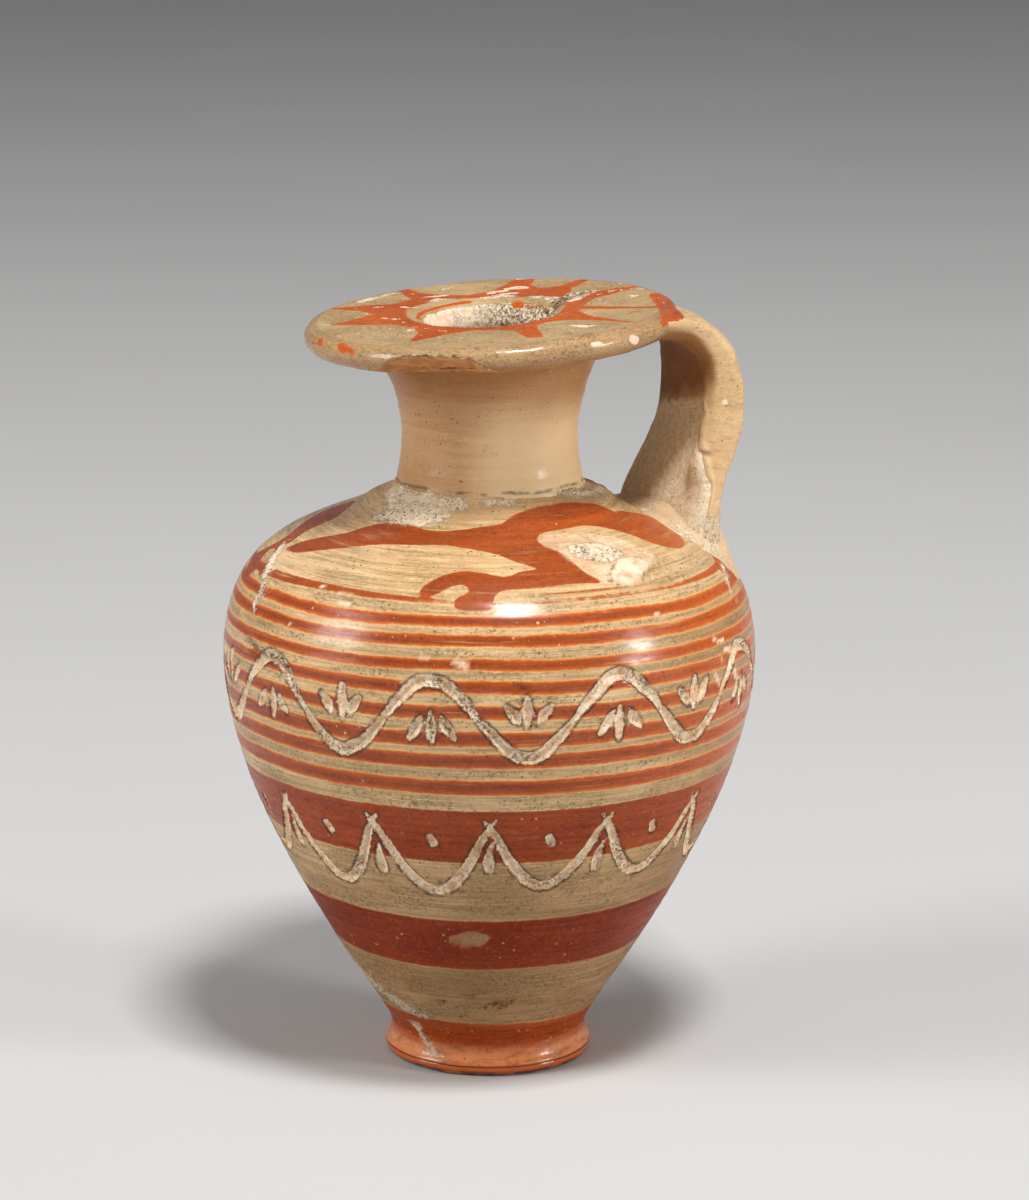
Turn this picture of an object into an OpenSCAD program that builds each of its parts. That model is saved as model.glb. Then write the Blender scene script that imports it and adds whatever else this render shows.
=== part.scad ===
// Small wheel-made oil flask: an ovoid body on a ring foot, a waisted neck, a
// flat mouth disc and a strap handle, put together from clay pieces the way
// the potter joins them. Millimetres, +Z up, handle towards +X, origin at the
// middle of the surface that the foot stands on.

/* [Body] */
// Diameter at the belly
belly_d = 35.2; // [33:0.1:38]
// Height of the belly above the ground
belly_h = 27.5; // [25:0.1:30]
// Height of the shoulder's flat top, where the neck stands
shoulder_h = 37.9; // [36:0.1:41]
// Slope of the shoulder at its top, in degrees from level
shoulder_slope = 39; // [30:1:45]
// Slope of the lower wall where it leaves the foot, in degrees from level
base_slope = 60; // [54:1:66]
// Thickness of the body's wall
body_wall = 2.0; // [1.5:0.1:2.4]
// Thickness of the floor above the foot
floor_t = 1.6; // [1.2:0.1:2.6]

/* [Foot] */
// Height of the foot
foot_h = 3.3; // [3:0.1:4.4]
// Diameter of the body where it stands on the foot
waist_d = 14.2; // [13.8:0.1:15.4]
// Diameter of the foot at its narrowest
foot_neck_d = 13.5; // [12.6:0.1:13.7]
// Diameter of the foot at its rounded edge
foot_d = 13.8; // [13.6:0.1:16]
// Radius of the foot's rounded edge
foot_edge_r = 0.5; // [0.3:0.05:0.8]
// Width of the ring that touches the ground
foot_land_w = 1.1; // [0.8:0.1:1.4]
// Diameter of the boss under the body, which the foot is thrown on to
boss_d = 9.4; // [8.4:0.1:9.8]
// Height of the hollow under the boss
hollow_h = 1.5; // [1:0.1:2.2]

/* [Neck] */
// Diameter of the neck at its waist
neck_d = 11.6; // [11.2:0.1:12.6]
// Height of the neck's waist above the shoulder
neck_waist_h = 4.1; // [3.6:0.1:5]
// Height of the neck from the shoulder to the mouth disc
neck_h = 10.0; // [9.2:0.1:11]
// Diameter of the neck's foot, where it stands on the shoulder
neck_foot_d = 13.2; // [12.8:0.1:14]
// Diameter of the neck under the mouth disc
neck_top_d = 15.6; // [14.4:0.1:16.4]
// Diameter of the pouring bore, through the neck and the mouth disc
bore_d = 7.6; // [6.6:0.1:8.2]
// Diameter of the tenon that the neck sends down through the shoulder
tenon_d = 10.2; // [9.6:0.1:10.8]
// Width of the clay coil that seals the neck on the shoulder's flat top
coil_w = 1.5; // [1.2:0.1:2]
// Height of that coil up the neck
coil_h = 1.1; // [0.8:0.1:1.6]

/* [Mouth] */
// Diameter of the mouth disc
mouth_d = 24.4; // [22:0.1:27]
// Thickness of the mouth disc over the neck
mouth_t = 2.2; // [2.1:0.1:3]
// Thickness of the disc's rounded lip
lip_t = 1.7; // [1.5:0.1:2.1]
// Diameter of the dish round the bore
dish_d = 11.6; // [10.8:0.1:13]
// Depth of that dish
dish_depth = 0.9; // [0.6:0.1:1.2]
// Width of the bore's rounded upper edge
bore_edge_w = 0.6; // [0.4:0.1:0.9]
// Slant of the disc, in degrees
mouth_tilt = 4.4; // [0:0.1:6]
// Direction in which the slanted disc rises, in degrees from the handle's side
mouth_turn = 15; // [-30:1:30]

/* [Handle] */
// Width of the strap at the middle
strap_w = 10.6; // [9:0.1:11.5]
// Width of the strap where it leaves the mouth disc
strap_top_w = 15.5; // [13:0.1:16.5]
// Width of the strap's root on the shoulder
strap_root_w = 11.8; // [10:0.1:13]
// Thickness of the strap at the middle
strap_t = 2.8; // [2.2:0.1:3.3]
// Thickness of the strap at the lip
strap_top_t = 1.5; // [1.3:0.05:1.6]
// Thickness of the strap's root
strap_root_t = 4.0; // [3.2:0.1:4.6]
// Bow of the strap's middle line, out past halfway between lip and belly
strap_bow = 0.1; // [-0.5:0.1:1]
// Depth of the strap's outermost point below the mouth disc
strap_drop = 3.3; // [2.6:0.1:4.2]
// Distance of the root's middle inside the belly
root_inset = 4.6; // [4.1:0.1:5.4]
// Thickness of the clay pad under the root
pad_t = 0.45; // [0.35:0.05:0.7]
// Margin of that pad round the root
pad_margin = 1.2; // [0.9:0.1:1.8]

/* [Hidden] */
$fn = 96;

clay = [0.80, 0.68, 0.49];
clay_shaded = [0.73, 0.61, 0.44];
red_slip = [0.72, 0.31, 0.15];

// Steps of each profile curve, along the strap and round its section
curve_steps = 18;
strap_steps = 15;
section_steps = 24;

belly_r = belly_d / 2;
waist_r = waist_d / 2;
foot_r = foot_d / 2;
foot_neck_r = foot_neck_d / 2;
boss_r = boss_d / 2;
neck_r = neck_d / 2;
neck_foot_r = neck_foot_d / 2;
shoulder_top_r = neck_foot_r + coil_w;
neck_top_r = neck_top_d / 2;
bore_r = bore_d / 2;
tenon_r = tenon_d / 2;
mouth_r = mouth_d / 2;
dish_r = dish_d / 2;
seat_h = shoulder_h + neck_h;
top_h = seat_h + mouth_t;
floor_h = foot_h + floor_t;

// Each belly curve stands upright at the belly for this share of its height
lower_fullness = 0.39;
upper_fullness = 0.86;
// and keeps its end slope for this far
base_run = 2.4;
shoulder_run = 3.3;

// Curves are [radius, height] points

function bezier(p, t) =
    pow(1 - t, 3) * p[0] + 3 * pow(1 - t, 2) * t * p[1] + 3 * (1 - t) * t * t * p[2] + pow(t, 3) * p[3];

function bezier_slope(p, t) =
    pow(1 - t, 2) * (p[1] - p[0]) + 2 * (1 - t) * t * (p[2] - p[1]) + t * t * (p[3] - p[2]);

function curve(p, n = curve_steps) = [for (i = [0:n]) bezier(p, i / n)];

// The same curve moved by d to the right of the way it runs
function curve_beside(p, d, n = curve_steps) = [
    for (i = [0:n])
        let (s = bezier_slope(p, i / n))
        bezier(p, i / n) + d * [s[1], -s[0]] / norm(s)
];

function tail(v) = [for (i = [1:1:len(v) - 1]) v[i]];
function reversed(v) = [for (i = [len(v) - 1:-1:0]) v[i]];
function ease(t) = let (u = min(1, max(0, t))) u * u * (3 - 2 * u);

// Body wall, from the foot up to the belly and on to the shoulder's top
lower_wall = [
    [waist_r, foot_h],
    [waist_r + base_run * cos(base_slope), foot_h + base_run * sin(base_slope)],
    [belly_r, belly_h - lower_fullness * (belly_h - foot_h)],
    [belly_r, belly_h]
];
upper_wall = [
    [belly_r, belly_h],
    [belly_r, belly_h + upper_fullness * (shoulder_h - belly_h)],
    [shoulder_top_r + shoulder_run * cos(shoulder_slope), shoulder_h - shoulder_run * sin(shoulder_slope)],
    [shoulder_top_r, shoulder_h]
];
inner_wall = concat(curve_beside(lower_wall, -body_wall), tail(curve_beside(upper_wall, -body_wall)));
collar_h = inner_wall[len(inner_wall) - 1][1];

// Neck, from its foot to its waist and on to the mouth disc. It runs on past
// the disc's seat, which cuts it on the slant.
neck_foot_flare = 0.32;
neck_top_flare = 0.3;
neck_lower = [
    [neck_foot_r, shoulder_h],
    [neck_r + (neck_foot_r - neck_r) * neck_foot_flare, shoulder_h + neck_waist_h / 3],
    [neck_r, shoulder_h + neck_waist_h * 2 / 3],
    [neck_r, shoulder_h + neck_waist_h]
];
neck_upper = [
    [neck_r, shoulder_h + neck_waist_h],
    [neck_r, shoulder_h + neck_waist_h + (neck_h - neck_waist_h) / 3],
    [neck_r + (neck_top_r - neck_r) * neck_top_flare, seat_h - (neck_h - neck_waist_h) / 4.5],
    [neck_top_r, seat_h]
];
seat_slack = neck_top_r * tan(mouth_tilt) + 0.3;

function neck_radius(h) = lookup(h, [for (p = curve(neck_lower)) [p[1], p[0]]]);
function shoulder_height(r) = lookup(r, [for (p = curve(upper_wall)) [p[0], p[1]]]);

// Mouth disc in its own frame: level, with the neck's seat at height 0. It
// slants about the middle of its top.
disc_seat_r = neck_top_r / cos(mouth_tilt) + mouth_t * tan(mouth_tilt) + 0.2;
lip_r = lip_t / 2;
lip_steps = 12;
disc_outline = concat(
    [[disc_seat_r, 0]],
    [for (i = [0:lip_steps])
        let (a = -90 + 180 * i / lip_steps)
        [mouth_r - lip_r + lip_r * cos(a), mouth_t - lip_r + lip_r * sin(a)]]
);
dish_curve = [
    [dish_r, mouth_t],
    [dish_r - 0.5 * (dish_r - bore_r), mouth_t],
    [bore_r + bore_edge_w, mouth_t - 0.45 * dish_depth],
    [bore_r, mouth_t - dish_depth]
];

// Height of the middle of the lip on the handle's side, at this radius
function lip_height(r) = top_h - lip_r + r * tan(mouth_tilt) * cos(mouth_turn);

// Strap's middle line: it leaves level from inside the lip, arches over and
// runs down into the shoulder, which cuts it off
strap_inside = 2.9;
strap_depth = 1.6;
root_r = belly_r - root_inset;
root_h = shoulder_height(root_r) + pad_t;
strap_out = [(mouth_r + belly_r) / 2 + strap_bow, seat_h - strap_drop];
strap_start = [mouth_r - strap_inside, lip_height(mouth_r - strap_inside)];
strap_over = [
    strap_start,
    strap_start + [1.1 * strap_inside, 0],
    [strap_out[0], strap_out[1] + 0.55 * (strap_start[1] - strap_out[1])],
    strap_out
];
strap_down = [
    strap_out,
    strap_out - [0, 0.4 * (strap_out[1] - root_h)],
    [root_r + 0.1 * (strap_out[0] - root_r), root_h + 0.25 * (strap_out[1] - root_h)],
    [root_r, root_h - strap_depth]
];
strap_line = concat(curve(strap_over, strap_steps), tail(curve(strap_down, strap_steps)));

// Width and thickness at s, the share of the way along the strap
function strap_width(s) =
    strap_w + (strap_top_w - strap_w) * pow(1 - min(1, s / 0.35), 2)
    + (strap_root_w - strap_w) * ease((s - 0.6) / 0.4);
function strap_thickness(s) =
    strap_top_t + (strap_t - strap_top_t) * ease((s - 0.12) / 0.34)
    + (strap_root_t - strap_t) * ease((s - 0.78) / 0.22);

// Rounded section of the strap, [across, through], as a superellipse
section_power = 0.55;
function section(w, t) = [
    for (i = [0:section_steps - 1])
        let (a = 360 * i / section_steps, c = cos(a), s = sin(a))
        [w / 2 * sign(c) * pow(abs(c), section_power), t / 2 * sign(s) * pow(abs(s), section_power)]
];

module foot_ring() {
    waist_h = foot_h * 0.52;
    edge = [for (i = [0:6]) [foot_r - foot_edge_r + foot_edge_r * sin(15 * i), foot_edge_r - foot_edge_r * cos(15 * i)]];
    flare = [
        [foot_r, foot_edge_r],
        [foot_r, foot_edge_r + (waist_h - foot_edge_r) / 3],
        [foot_neck_r, waist_h - (waist_h - foot_edge_r) / 3],
        [foot_neck_r, waist_h]
    ];
    cove = [
        [foot_neck_r, waist_h],
        [foot_neck_r, waist_h + (foot_h - waist_h) / 2],
        [waist_r, foot_h] - 0.4 * (foot_h - waist_h) * [cos(base_slope), sin(base_slope)],
        [waist_r, foot_h]
    ];
    color(red_slip)
        rotate_extrude()
            polygon(concat(
                [[foot_r - foot_edge_r - foot_land_w, 0]],
                edge,
                tail(curve(flare, 8)),
                tail(curve(cove, 8)),
                [[boss_r, foot_h], [boss_r, hollow_h]]
            ));
}

module body() {
    cavity = [for (p = inner_wall) if (p[1] > floor_h + 0.3) p];
    color(clay)
        rotate_extrude()
            polygon(concat(
                [[0, hollow_h], [boss_r, hollow_h], [boss_r, foot_h]],
                curve(lower_wall),
                tail(curve(upper_wall)),
                [[tenon_r, shoulder_h], [tenon_r, collar_h]],
                reversed(cavity),
                [[cavity[0][0] - 0.6, floor_h], [0, floor_h]]
            ));
}

// Places what is drawn in the mouth disc's own frame
module slanted() {
    translate([0, 0, top_h])
        rotate([0, 0, mouth_turn])
            rotate([0, -mouth_tilt, 0])
                translate([0, 0, -mouth_t])
                    children();
}

module neck() {
    color(clay)
        difference() {
            rotate_extrude()
                polygon(concat(
                    [[bore_r, collar_h], [tenon_r, collar_h], [tenon_r, shoulder_h]],
                    curve(neck_lower),
                    tail(curve(neck_upper)),
                    [[neck_top_r + seat_slack, seat_h + seat_slack], [bore_r, seat_h + seat_slack]]
                ));
            slanted()
                cylinder(h = 2 * neck_top_r, r = 2 * neck_top_r);
        }
}

// Clay coil pressed round the joint of neck and shoulder
module neck_coil() {
    coil_top = [neck_radius(shoulder_h + coil_h), shoulder_h + coil_h];
    against_neck = [for (p = curve(neck_lower)) if (p[1] < coil_top[1] - 0.01) p];
    face = [
        [shoulder_top_r, shoulder_h],
        [shoulder_top_r, shoulder_h] + coil_w * 0.45 * [-cos(shoulder_slope), sin(shoulder_slope)],
        coil_top - [-0.12, 0.5 * coil_h],
        coil_top
    ];
    color(clay_shaded)
        rotate_extrude()
            polygon(concat(against_neck, reversed(curve(face, 8))));
}

module mouth_disc() {
    color(clay)
        difference() {
            slanted()
                rotate_extrude()
                    polygon(concat([[0, 0]], disc_outline, curve(dish_curve, 8), [[0, mouth_t - dish_depth]]));
            translate([0, 0, seat_h - mouth_r])
                cylinder(h = 2 * mouth_r, r = bore_r);
        }
}

// Outside of the shoulder with the pad's thickness on it, which is full under
// the root's middle and thins out on both sides
pad_edge = 0.1;
pad_corner = 0.75;
function pad_thickness(r) =
    let (far = abs(r - root_r) / (strap_root_t / 2 + pad_margin))
    pad_edge + (pad_t - pad_edge) * (1 - ease(far));
padded_shoulder = [
    for (i = [0:curve_steps])
        let (s = bezier_slope(upper_wall, i / curve_steps), p = bezier(upper_wall, i / curve_steps))
        p + pad_thickness(p[0]) * [s[1], -s[0]] / norm(s)
];

// Body and pad together, as the strap's root meets them
module shoulder_bulk() {
    rotate_extrude()
        polygon(concat([[0, belly_h]], padded_shoulder, [[0, shoulder_h]]));
}

// Flattened clay that beds the strap's root on the shoulder
module root_pad() {
    half_long = strap_root_w / 2 + pad_margin;
    half_wide = strap_root_t / 2 + pad_margin;
    footprint = [
        for (i = [0:47])
            let (c = cos(7.5 * i), s = sin(7.5 * i))
            [
                root_r + half_wide * sign(c) * pow(abs(c), pad_corner),
                half_long * sign(s) * pow(abs(s), pad_corner)
            ]
    ];
    color(clay_shaded)
        intersection() {
            rotate_extrude()
                polygon(concat(padded_shoulder, reversed(curve(upper_wall))));
            translate([0, 0, belly_h])
                linear_extrude(height = neck_h + shoulder_h - belly_h)
                    polygon(footprint);
        }
}

module strap_solid() {
    rings = len(strap_line);
    m = section_steps;
    points = [
        for (i = [0:rings - 1])
            let (
                run = strap_line[min(i + 1, rings - 1)] - strap_line[max(i - 1, 0)],
                way = run / norm(run),
                s = i / (rings - 1)
            )
            for (q = section(strap_width(s), strap_thickness(s)))
                [strap_line[i][0] + q[1] * way[1], q[0], strap_line[i][1] - q[1] * way[0]]
    ];
    sides = [
        for (i = [0:rings - 2])
            for (j = [0:m - 1])
                let (a = i * m + j, b = i * m + (j + 1) % m)
                for (f = [[a, b, b + m], [a, b + m, a + m]])
                    f
    ];
    polyhedron(
        points = points,
        faces = concat(
            [[for (j = [m - 1:-1:0]) j]],
            sides,
            [[for (j = [0:m - 1]) (rings - 1) * m + j]]
        ),
        convexity = 4
    );
}

module strap_handle() {
    color(clay)
        difference() {
            strap_solid();
            shoulder_bulk();
            slanted()
                rotate_extrude()
                    polygon(concat([[0, 0]], disc_outline, [[0, mouth_t]]));
        }
}

foot_ring();
body();
neck();
neck_coil();
mouth_disc();
root_pad();
strap_handle();
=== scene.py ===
import math

import bpy
import numpy as np
from mathutils import Matrix, Vector, noise


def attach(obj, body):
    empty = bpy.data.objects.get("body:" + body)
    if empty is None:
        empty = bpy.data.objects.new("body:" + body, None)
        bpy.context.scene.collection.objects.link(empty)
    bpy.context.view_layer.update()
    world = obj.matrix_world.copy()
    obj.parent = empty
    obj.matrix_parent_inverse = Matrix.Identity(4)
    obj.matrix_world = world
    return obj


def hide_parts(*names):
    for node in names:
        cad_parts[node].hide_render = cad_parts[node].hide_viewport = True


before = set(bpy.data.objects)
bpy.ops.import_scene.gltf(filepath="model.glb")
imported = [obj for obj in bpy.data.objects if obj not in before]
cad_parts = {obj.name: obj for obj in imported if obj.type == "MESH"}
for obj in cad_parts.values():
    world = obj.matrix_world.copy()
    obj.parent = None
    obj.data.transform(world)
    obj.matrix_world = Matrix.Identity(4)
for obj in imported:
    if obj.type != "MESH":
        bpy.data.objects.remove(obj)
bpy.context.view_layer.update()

# The flask is measured in millimetres here and built in metres.
MM = 0.001

# Heights and radii of the vessel's wall
FOOT_TOP_R, FOOT_TOP_Z = 7.1, 3.3
BELLY_R, BELLY_Z = 17.6, 27.5
SHOULDER_R, SHOULDER_Z = 8.1, 37.9
BASE_SLOPE, SHOULDER_SLOPE = 60.0, 39.0
BORE_R = 3.8
FOOT_HOLLOW_R, FOOT_HOLLOW_Z = 4.2, 1.5
FOOT_STAND_R, FOOT_FLAT_R, FOOT_EDGE_R, FOOT_EDGE_T = 5.3, 6.42, 6.9, 0.42
FOOT_GROOVE_R, FOOT_GROOVE_Z = 6.87, 0.66
FOOT_WAIST_R, FOOT_WAIST_Z = 6.52, 2.0
TENON_R, COLLAR_Z = 5.1, 36.35
FLOOR_Z = 4.9
WALL_T = 2.0
NECK_FOOT_R, NECK_WAIST_R, NECK_TOP_R = 6.6, 5.8, 7.8
NECK_WAIST_Z, SEAT_Z = 42.0, 47.9
COIL_TOP_Z = 39.0
NECK_LINE_Z = 39.2

# The mouth disc, level in its own frame
DISC_T = 2.2
DISC_TURN, DISC_TILT = 15.0, 4.4
LIP_R, LIP_CENTRE, LIP_START = 0.85, (11.35, 1.35), -81.2
DISH_R = 5.3
UNDERSIDE_R = 8.19

# The strap
STRAP_START = (9.3, 49.94)
STRAP_OUT = (15.0, 44.6)
# Least width and thickness, and what its ends and its lower part add to them
STRAP_W, STRAP_TOP_FLARE, STRAP_ROOT_FLARE = 10.6, 4.9, 1.2
STRAP_T, STRAP_T_MID, STRAP_T_ROOT = 1.5, 1.3, 1.2
ROOT_R = 13.0
ROOT_HALF_X, ROOT_HALF_Y = 3.6, 7.4
PAD_T = 0.45
SECTION_POWER = 0.55
# A lime pop in its near edge
STRAP_POP = (14.45, -5.3, 44.28)


def bezier(a, b, c, d, count):
    """Points along one cubic curve."""
    t = np.linspace(0, 1, count)[:, None]
    a, b, c, d = (np.array(p, float) for p in (a, b, c, d))
    return (1 - t) ** 3 * a + 3 * (1 - t) ** 2 * t * b + 3 * (1 - t) * t**2 * c + t**3 * d


def way_along(line):
    """Length of the line from its start to each of its points."""
    return np.concatenate([[0], np.cumsum(np.linalg.norm(np.diff(line, axis=0), axis=1))])


def evenly(line, count):
    """The same line through count points at even spacing."""
    line = np.asarray(line, float)
    run = way_along(line)
    at = np.linspace(0, run[-1], count)
    return np.stack([np.interp(at, run, line[:, k]) for k in range(line.shape[1])], -1)


def spaced(line, step):
    """The same line with about one point per step."""
    line = np.asarray(line, float)
    length = np.linalg.norm(np.diff(line, axis=0), axis=1).sum()
    return evenly(line, max(2, int(round(length / step)) + 1))


def joined(*parts):
    """Lines put end to end, the shared points once."""
    out = [np.asarray(parts[0], float)]
    for part in parts[1:]:
        part = np.asarray(part, float)
        out.append(part[1:] if np.linalg.norm(part[0] - out[-1][-1]) < 1e-4 else part)
    return np.concatenate(out)


def ease(t):
    """0 to 1 with soft ends."""
    t = np.clip(t, 0, 1)
    return t * t * (3 - 2 * t)


def cos(degrees):
    return math.cos(math.radians(degrees))


def sin(degrees):
    return math.sin(math.radians(degrees))


# The wall's outside, from the foot up to the neck
LOWER_WALL = bezier(
    (FOOT_TOP_R, FOOT_TOP_Z),
    (FOOT_TOP_R + 2.4 * cos(BASE_SLOPE), FOOT_TOP_Z + 2.4 * sin(BASE_SLOPE)),
    (BELLY_R, BELLY_Z - 0.39 * (BELLY_Z - FOOT_TOP_Z)),
    (BELLY_R, BELLY_Z),
    400,
)
UPPER_WALL = bezier(
    (BELLY_R, BELLY_Z),
    (BELLY_R, BELLY_Z + 0.86 * (SHOULDER_Z - BELLY_Z)),
    (SHOULDER_R + 3.3 * cos(SHOULDER_SLOPE), SHOULDER_Z - 3.3 * sin(SHOULDER_SLOPE)),
    (SHOULDER_R, SHOULDER_Z),
    400,
)
WALL = joined(LOWER_WALL, UPPER_WALL)
NECK_LINE = joined(
    bezier(
        (NECK_FOOT_R, SHOULDER_Z),
        (NECK_WAIST_R + 0.8 * 0.32, SHOULDER_Z + 4.1 / 3),
        (NECK_WAIST_R, SHOULDER_Z + 4.1 * 2 / 3),
        (NECK_WAIST_R, NECK_WAIST_Z),
        60,
    ),
    bezier(
        (NECK_WAIST_R, NECK_WAIST_Z),
        (NECK_WAIST_R, NECK_WAIST_Z + 5.9 / 3),
        (NECK_WAIST_R + 2.0 * 0.3, SEAT_Z - 5.9 / 4.5),
        (NECK_TOP_R, SEAT_Z),
        60,
    ),
)
COIL_TOP_R = float(np.interp(COIL_TOP_Z, NECK_LINE[:, 1], NECK_LINE[:, 0]))
COIL_LINE = bezier(
    (SHOULDER_R, SHOULDER_Z),
    (SHOULDER_R - 0.675 * cos(SHOULDER_SLOPE), SHOULDER_Z + 0.675 * sin(SHOULDER_SLOPE)),
    (COIL_TOP_R + 0.12, COIL_TOP_Z - 0.55),
    (COIL_TOP_R, COIL_TOP_Z),
    60,
)
# The way up the wall, in mm from the foot, runs on over the coil
CLIMB = joined(WALL, COIL_LINE)
CLIMB_RUN = way_along(CLIMB)


def on_wall(azimuth, run):
    """Points on the wall at an azimuth in degrees and a way up the wall in mm."""
    a = np.radians(azimuth)
    r = np.interp(run, CLIMB_RUN, CLIMB[:, 0])
    z = np.interp(run, CLIMB_RUN, CLIMB[:, 1])
    return np.stack([r * np.cos(a), r * np.sin(a), z], -1)


def run_at(z):
    """Way up the wall at a height."""
    return np.interp(z, CLIMB[:, 1], CLIMB_RUN)


def flow(points, per=5):
    """A smooth line through given points, each a row of any numbers."""
    p = np.asarray(points, float)
    p = np.vstack([2 * p[0] - p[1], p, 2 * p[-1] - p[-2]])
    t = np.linspace(0, 1, per, endpoint=False)[:, None]
    out = []
    for a, b, c, d in zip(p[:-3], p[1:-2], p[2:-1], p[3:]):
        out.append(
            0.5 * (2 * b + (c - a) * t + (2 * a - 5 * b + 4 * c - d) * t**2 + (3 * b - a - 3 * c + d) * t**3)
        )
    return np.vstack(out + [p[-2:-1]])


def brush(points, line, half):
    """Distance in mm from points to a brush stroke, below zero inside it."""
    best = np.full(len(points), 99.0)
    half = np.broadcast_to(half, len(line))
    low, high = line.min(0) - 3, line.max(0) + 3
    near = np.where(((points > low) & (points < high)).all(1))[0]
    close = points[near]
    found = np.full(len(near), 99.0)
    for a, b, wa, wb in zip(line[:-1], line[1:], half[:-1], half[1:]):
        along = b - a
        t = np.clip((close - a) @ along / max(along @ along, 1e-9), 0, 1)
        gap = np.linalg.norm(close - a - t[:, None] * along, axis=1) - (wa + (wb - wa) * t)
        found = np.minimum(found, gap)
    best[near] = found
    return best


def wall_brush(points, strokes, turn=0.0):
    """The same for strokes on the wall, each a list of (azimuth, run, half width)."""
    best = np.full(len(points), 99.0)
    for stroke in strokes:
        s = flow(stroke)
        best = np.minimum(best, brush(points, on_wall(s[:, 0] + turn, s[:, 1]), np.maximum(s[:, 2], 0.02)))
    return best


def enclosed(u, v, loop):
    """True where a flat place lies within a loop of corners."""
    inside = np.zeros(len(u), bool)
    for (ua, va), (ub, vb) in zip(loop, np.roll(loop, -1, 0)):
        if va != vb:
            crosses = (va > v) != (vb > v)
            inside ^= crosses & (u < (ub - ua) * (v - va) / (vb - va) + ua)
    return inside


def smooth_loop(corners, per=4):
    """A smooth closed line through given corners."""
    ring = np.asarray(corners, float)
    line = flow(np.vstack([ring[-1:], ring, ring[:1], ring[1:2]]), per)
    return line[per : per * (len(ring) + 1)]


def wall_shape(points, corners, turn=0.0):
    """Distance in mm to a painted shape with corners of (azimuth, way up the wall), below zero inside it."""
    loop = smooth_loop(corners)
    closed = np.vstack([loop, loop[:1]])
    far = np.abs(brush(points, on_wall(closed[:, 0] + turn, closed[:, 1]), 0.0))
    azimuth = (azimuth_of(points) - turn - loop[:, 0].mean() + 180) % 360 - 180 + loop[:, 0].mean()
    return np.where(enclosed(azimuth, run_at(points[:, 2]), loop), -far, far)


def flat_shape(points, corners, per=1):
    """The same for corners of (x, y) on a level plate."""
    loop = smooth_loop(corners, per) if per > 1 else np.asarray(corners, float)
    line = np.vstack([loop, loop[:1]])
    far = np.abs(brush(points, np.column_stack([line, np.zeros(len(line))]), 0.0))
    return np.where(enclosed(points[:, 0], points[:, 1], loop), -far, far)


def rough(points, size, octaves=4, shift=0.0):
    """Uneven field about -1 to 1, with features of about size mm."""
    scale = 1 / size
    return np.array(
        [
            noise.fractal(Vector((x * scale + shift, y * scale, z * scale)), 0.9, 2.1, octaves)
            for x, y, z in points
        ]
    )


def azimuth_of(points):
    return np.degrees(np.arctan2(points[:, 1], points[:, 0]))


def within(azimuth, low, high, soft):
    """1 between two azimuths and 0 away from them."""
    middle, half = (low + high) / 2, (high - low) / 2
    off = np.abs((azimuth - middle + 180) % 360 - 180)
    return ease((half - off) / soft + 0.5)


def outwards(profile):
    """The way out of a surface at each point of its profile."""
    way = np.gradient(profile, axis=0)
    out = np.stack([way[:, 1], -way[:, 0]], -1)
    return out / np.maximum(np.linalg.norm(out, axis=1), 1e-9)[:, None]


def spun(profile, around):
    """Rows of (radius, height) carried round the axis."""
    a = np.linspace(0, 2 * np.pi, around, endpoint=False)
    r, z = profile[:, :1], np.broadcast_to(profile[:, 1:], (len(profile), around))
    return np.stack([r * np.cos(a), r * np.sin(a), z], -1).reshape(-1, 3)


def turned(profile, around, looped):
    """Points, ways out and faces of a turned shape; one that isn't looped ends in a point on the axis."""
    points, outward = spun(profile, around), spun(outwards(profile), around)
    faces = grid_faces(len(profile), around, looped)
    if looped:
        return points, outward, faces
    kept, faces = capped(points, around, faces)
    return points[kept], outward[kept], faces


def grid_faces(rows, around, looped):
    """Quads over a grid that closes round each row, and from last row to first if looped."""
    i, j = np.meshgrid(np.arange(rows if looped else rows - 1), np.arange(around), indexing="ij")
    i, j = i.ravel(), j.ravel()
    up, over = (i + 1) % rows, (j + 1) % around
    return np.stack([i * around + j, i * around + over, up * around + over, up * around + j], -1).tolist()


def build(name, points, faces, marks=None):
    """An object from points in mm, with its fields for the paint on it."""
    mesh = bpy.data.meshes.new(name)
    mesh.from_pydata((np.asarray(points) * MM).tolist(), [], faces)
    mesh.polygons.foreach_set("use_smooth", [True] * len(mesh.polygons))
    for field, values in (marks or {}).items():
        mesh.attributes.new(field, "FLOAT", "POINT").data.foreach_set(
            "value", np.ascontiguousarray(values, np.float32)
        )
    mesh.update()
    piece = bpy.data.objects.new(name, mesh)
    bpy.context.scene.collection.objects.link(piece)
    return piece


def capped(points, around, faces):
    """Rows that start and end on the axis: the two ends become one point each."""
    first, last = 0, len(points) - around
    kept = [first] + list(range(around, last)) + [last]
    place = np.zeros(len(points), int)
    for new, old in enumerate(kept):
        place[old] = new
    place[:around] = 0
    place[last:] = len(kept) - 1
    out = []
    for f in faces:
        g = [int(place[v]) for v in f]
        g = [v for k, v in enumerate(g) if v != g[k - 1]]
        if len(g) > 2:
            out.append(g)
    return kept, out


def settle(piece, node, material):
    """Gives a piece its material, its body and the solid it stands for."""
    piece.data.materials.append(material)
    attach(piece, "root")
    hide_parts(node)
    return piece


def tone(red, green, blue):
    """A colour as seen on a screen, for the shader."""
    out = []
    for v in (red, green, blue):
        v /= 255
        out.append(v / 12.92 if v <= 0.04045 else ((v + 0.055) / 1.055) ** 2.4)
    return (*out, 1.0)


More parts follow.
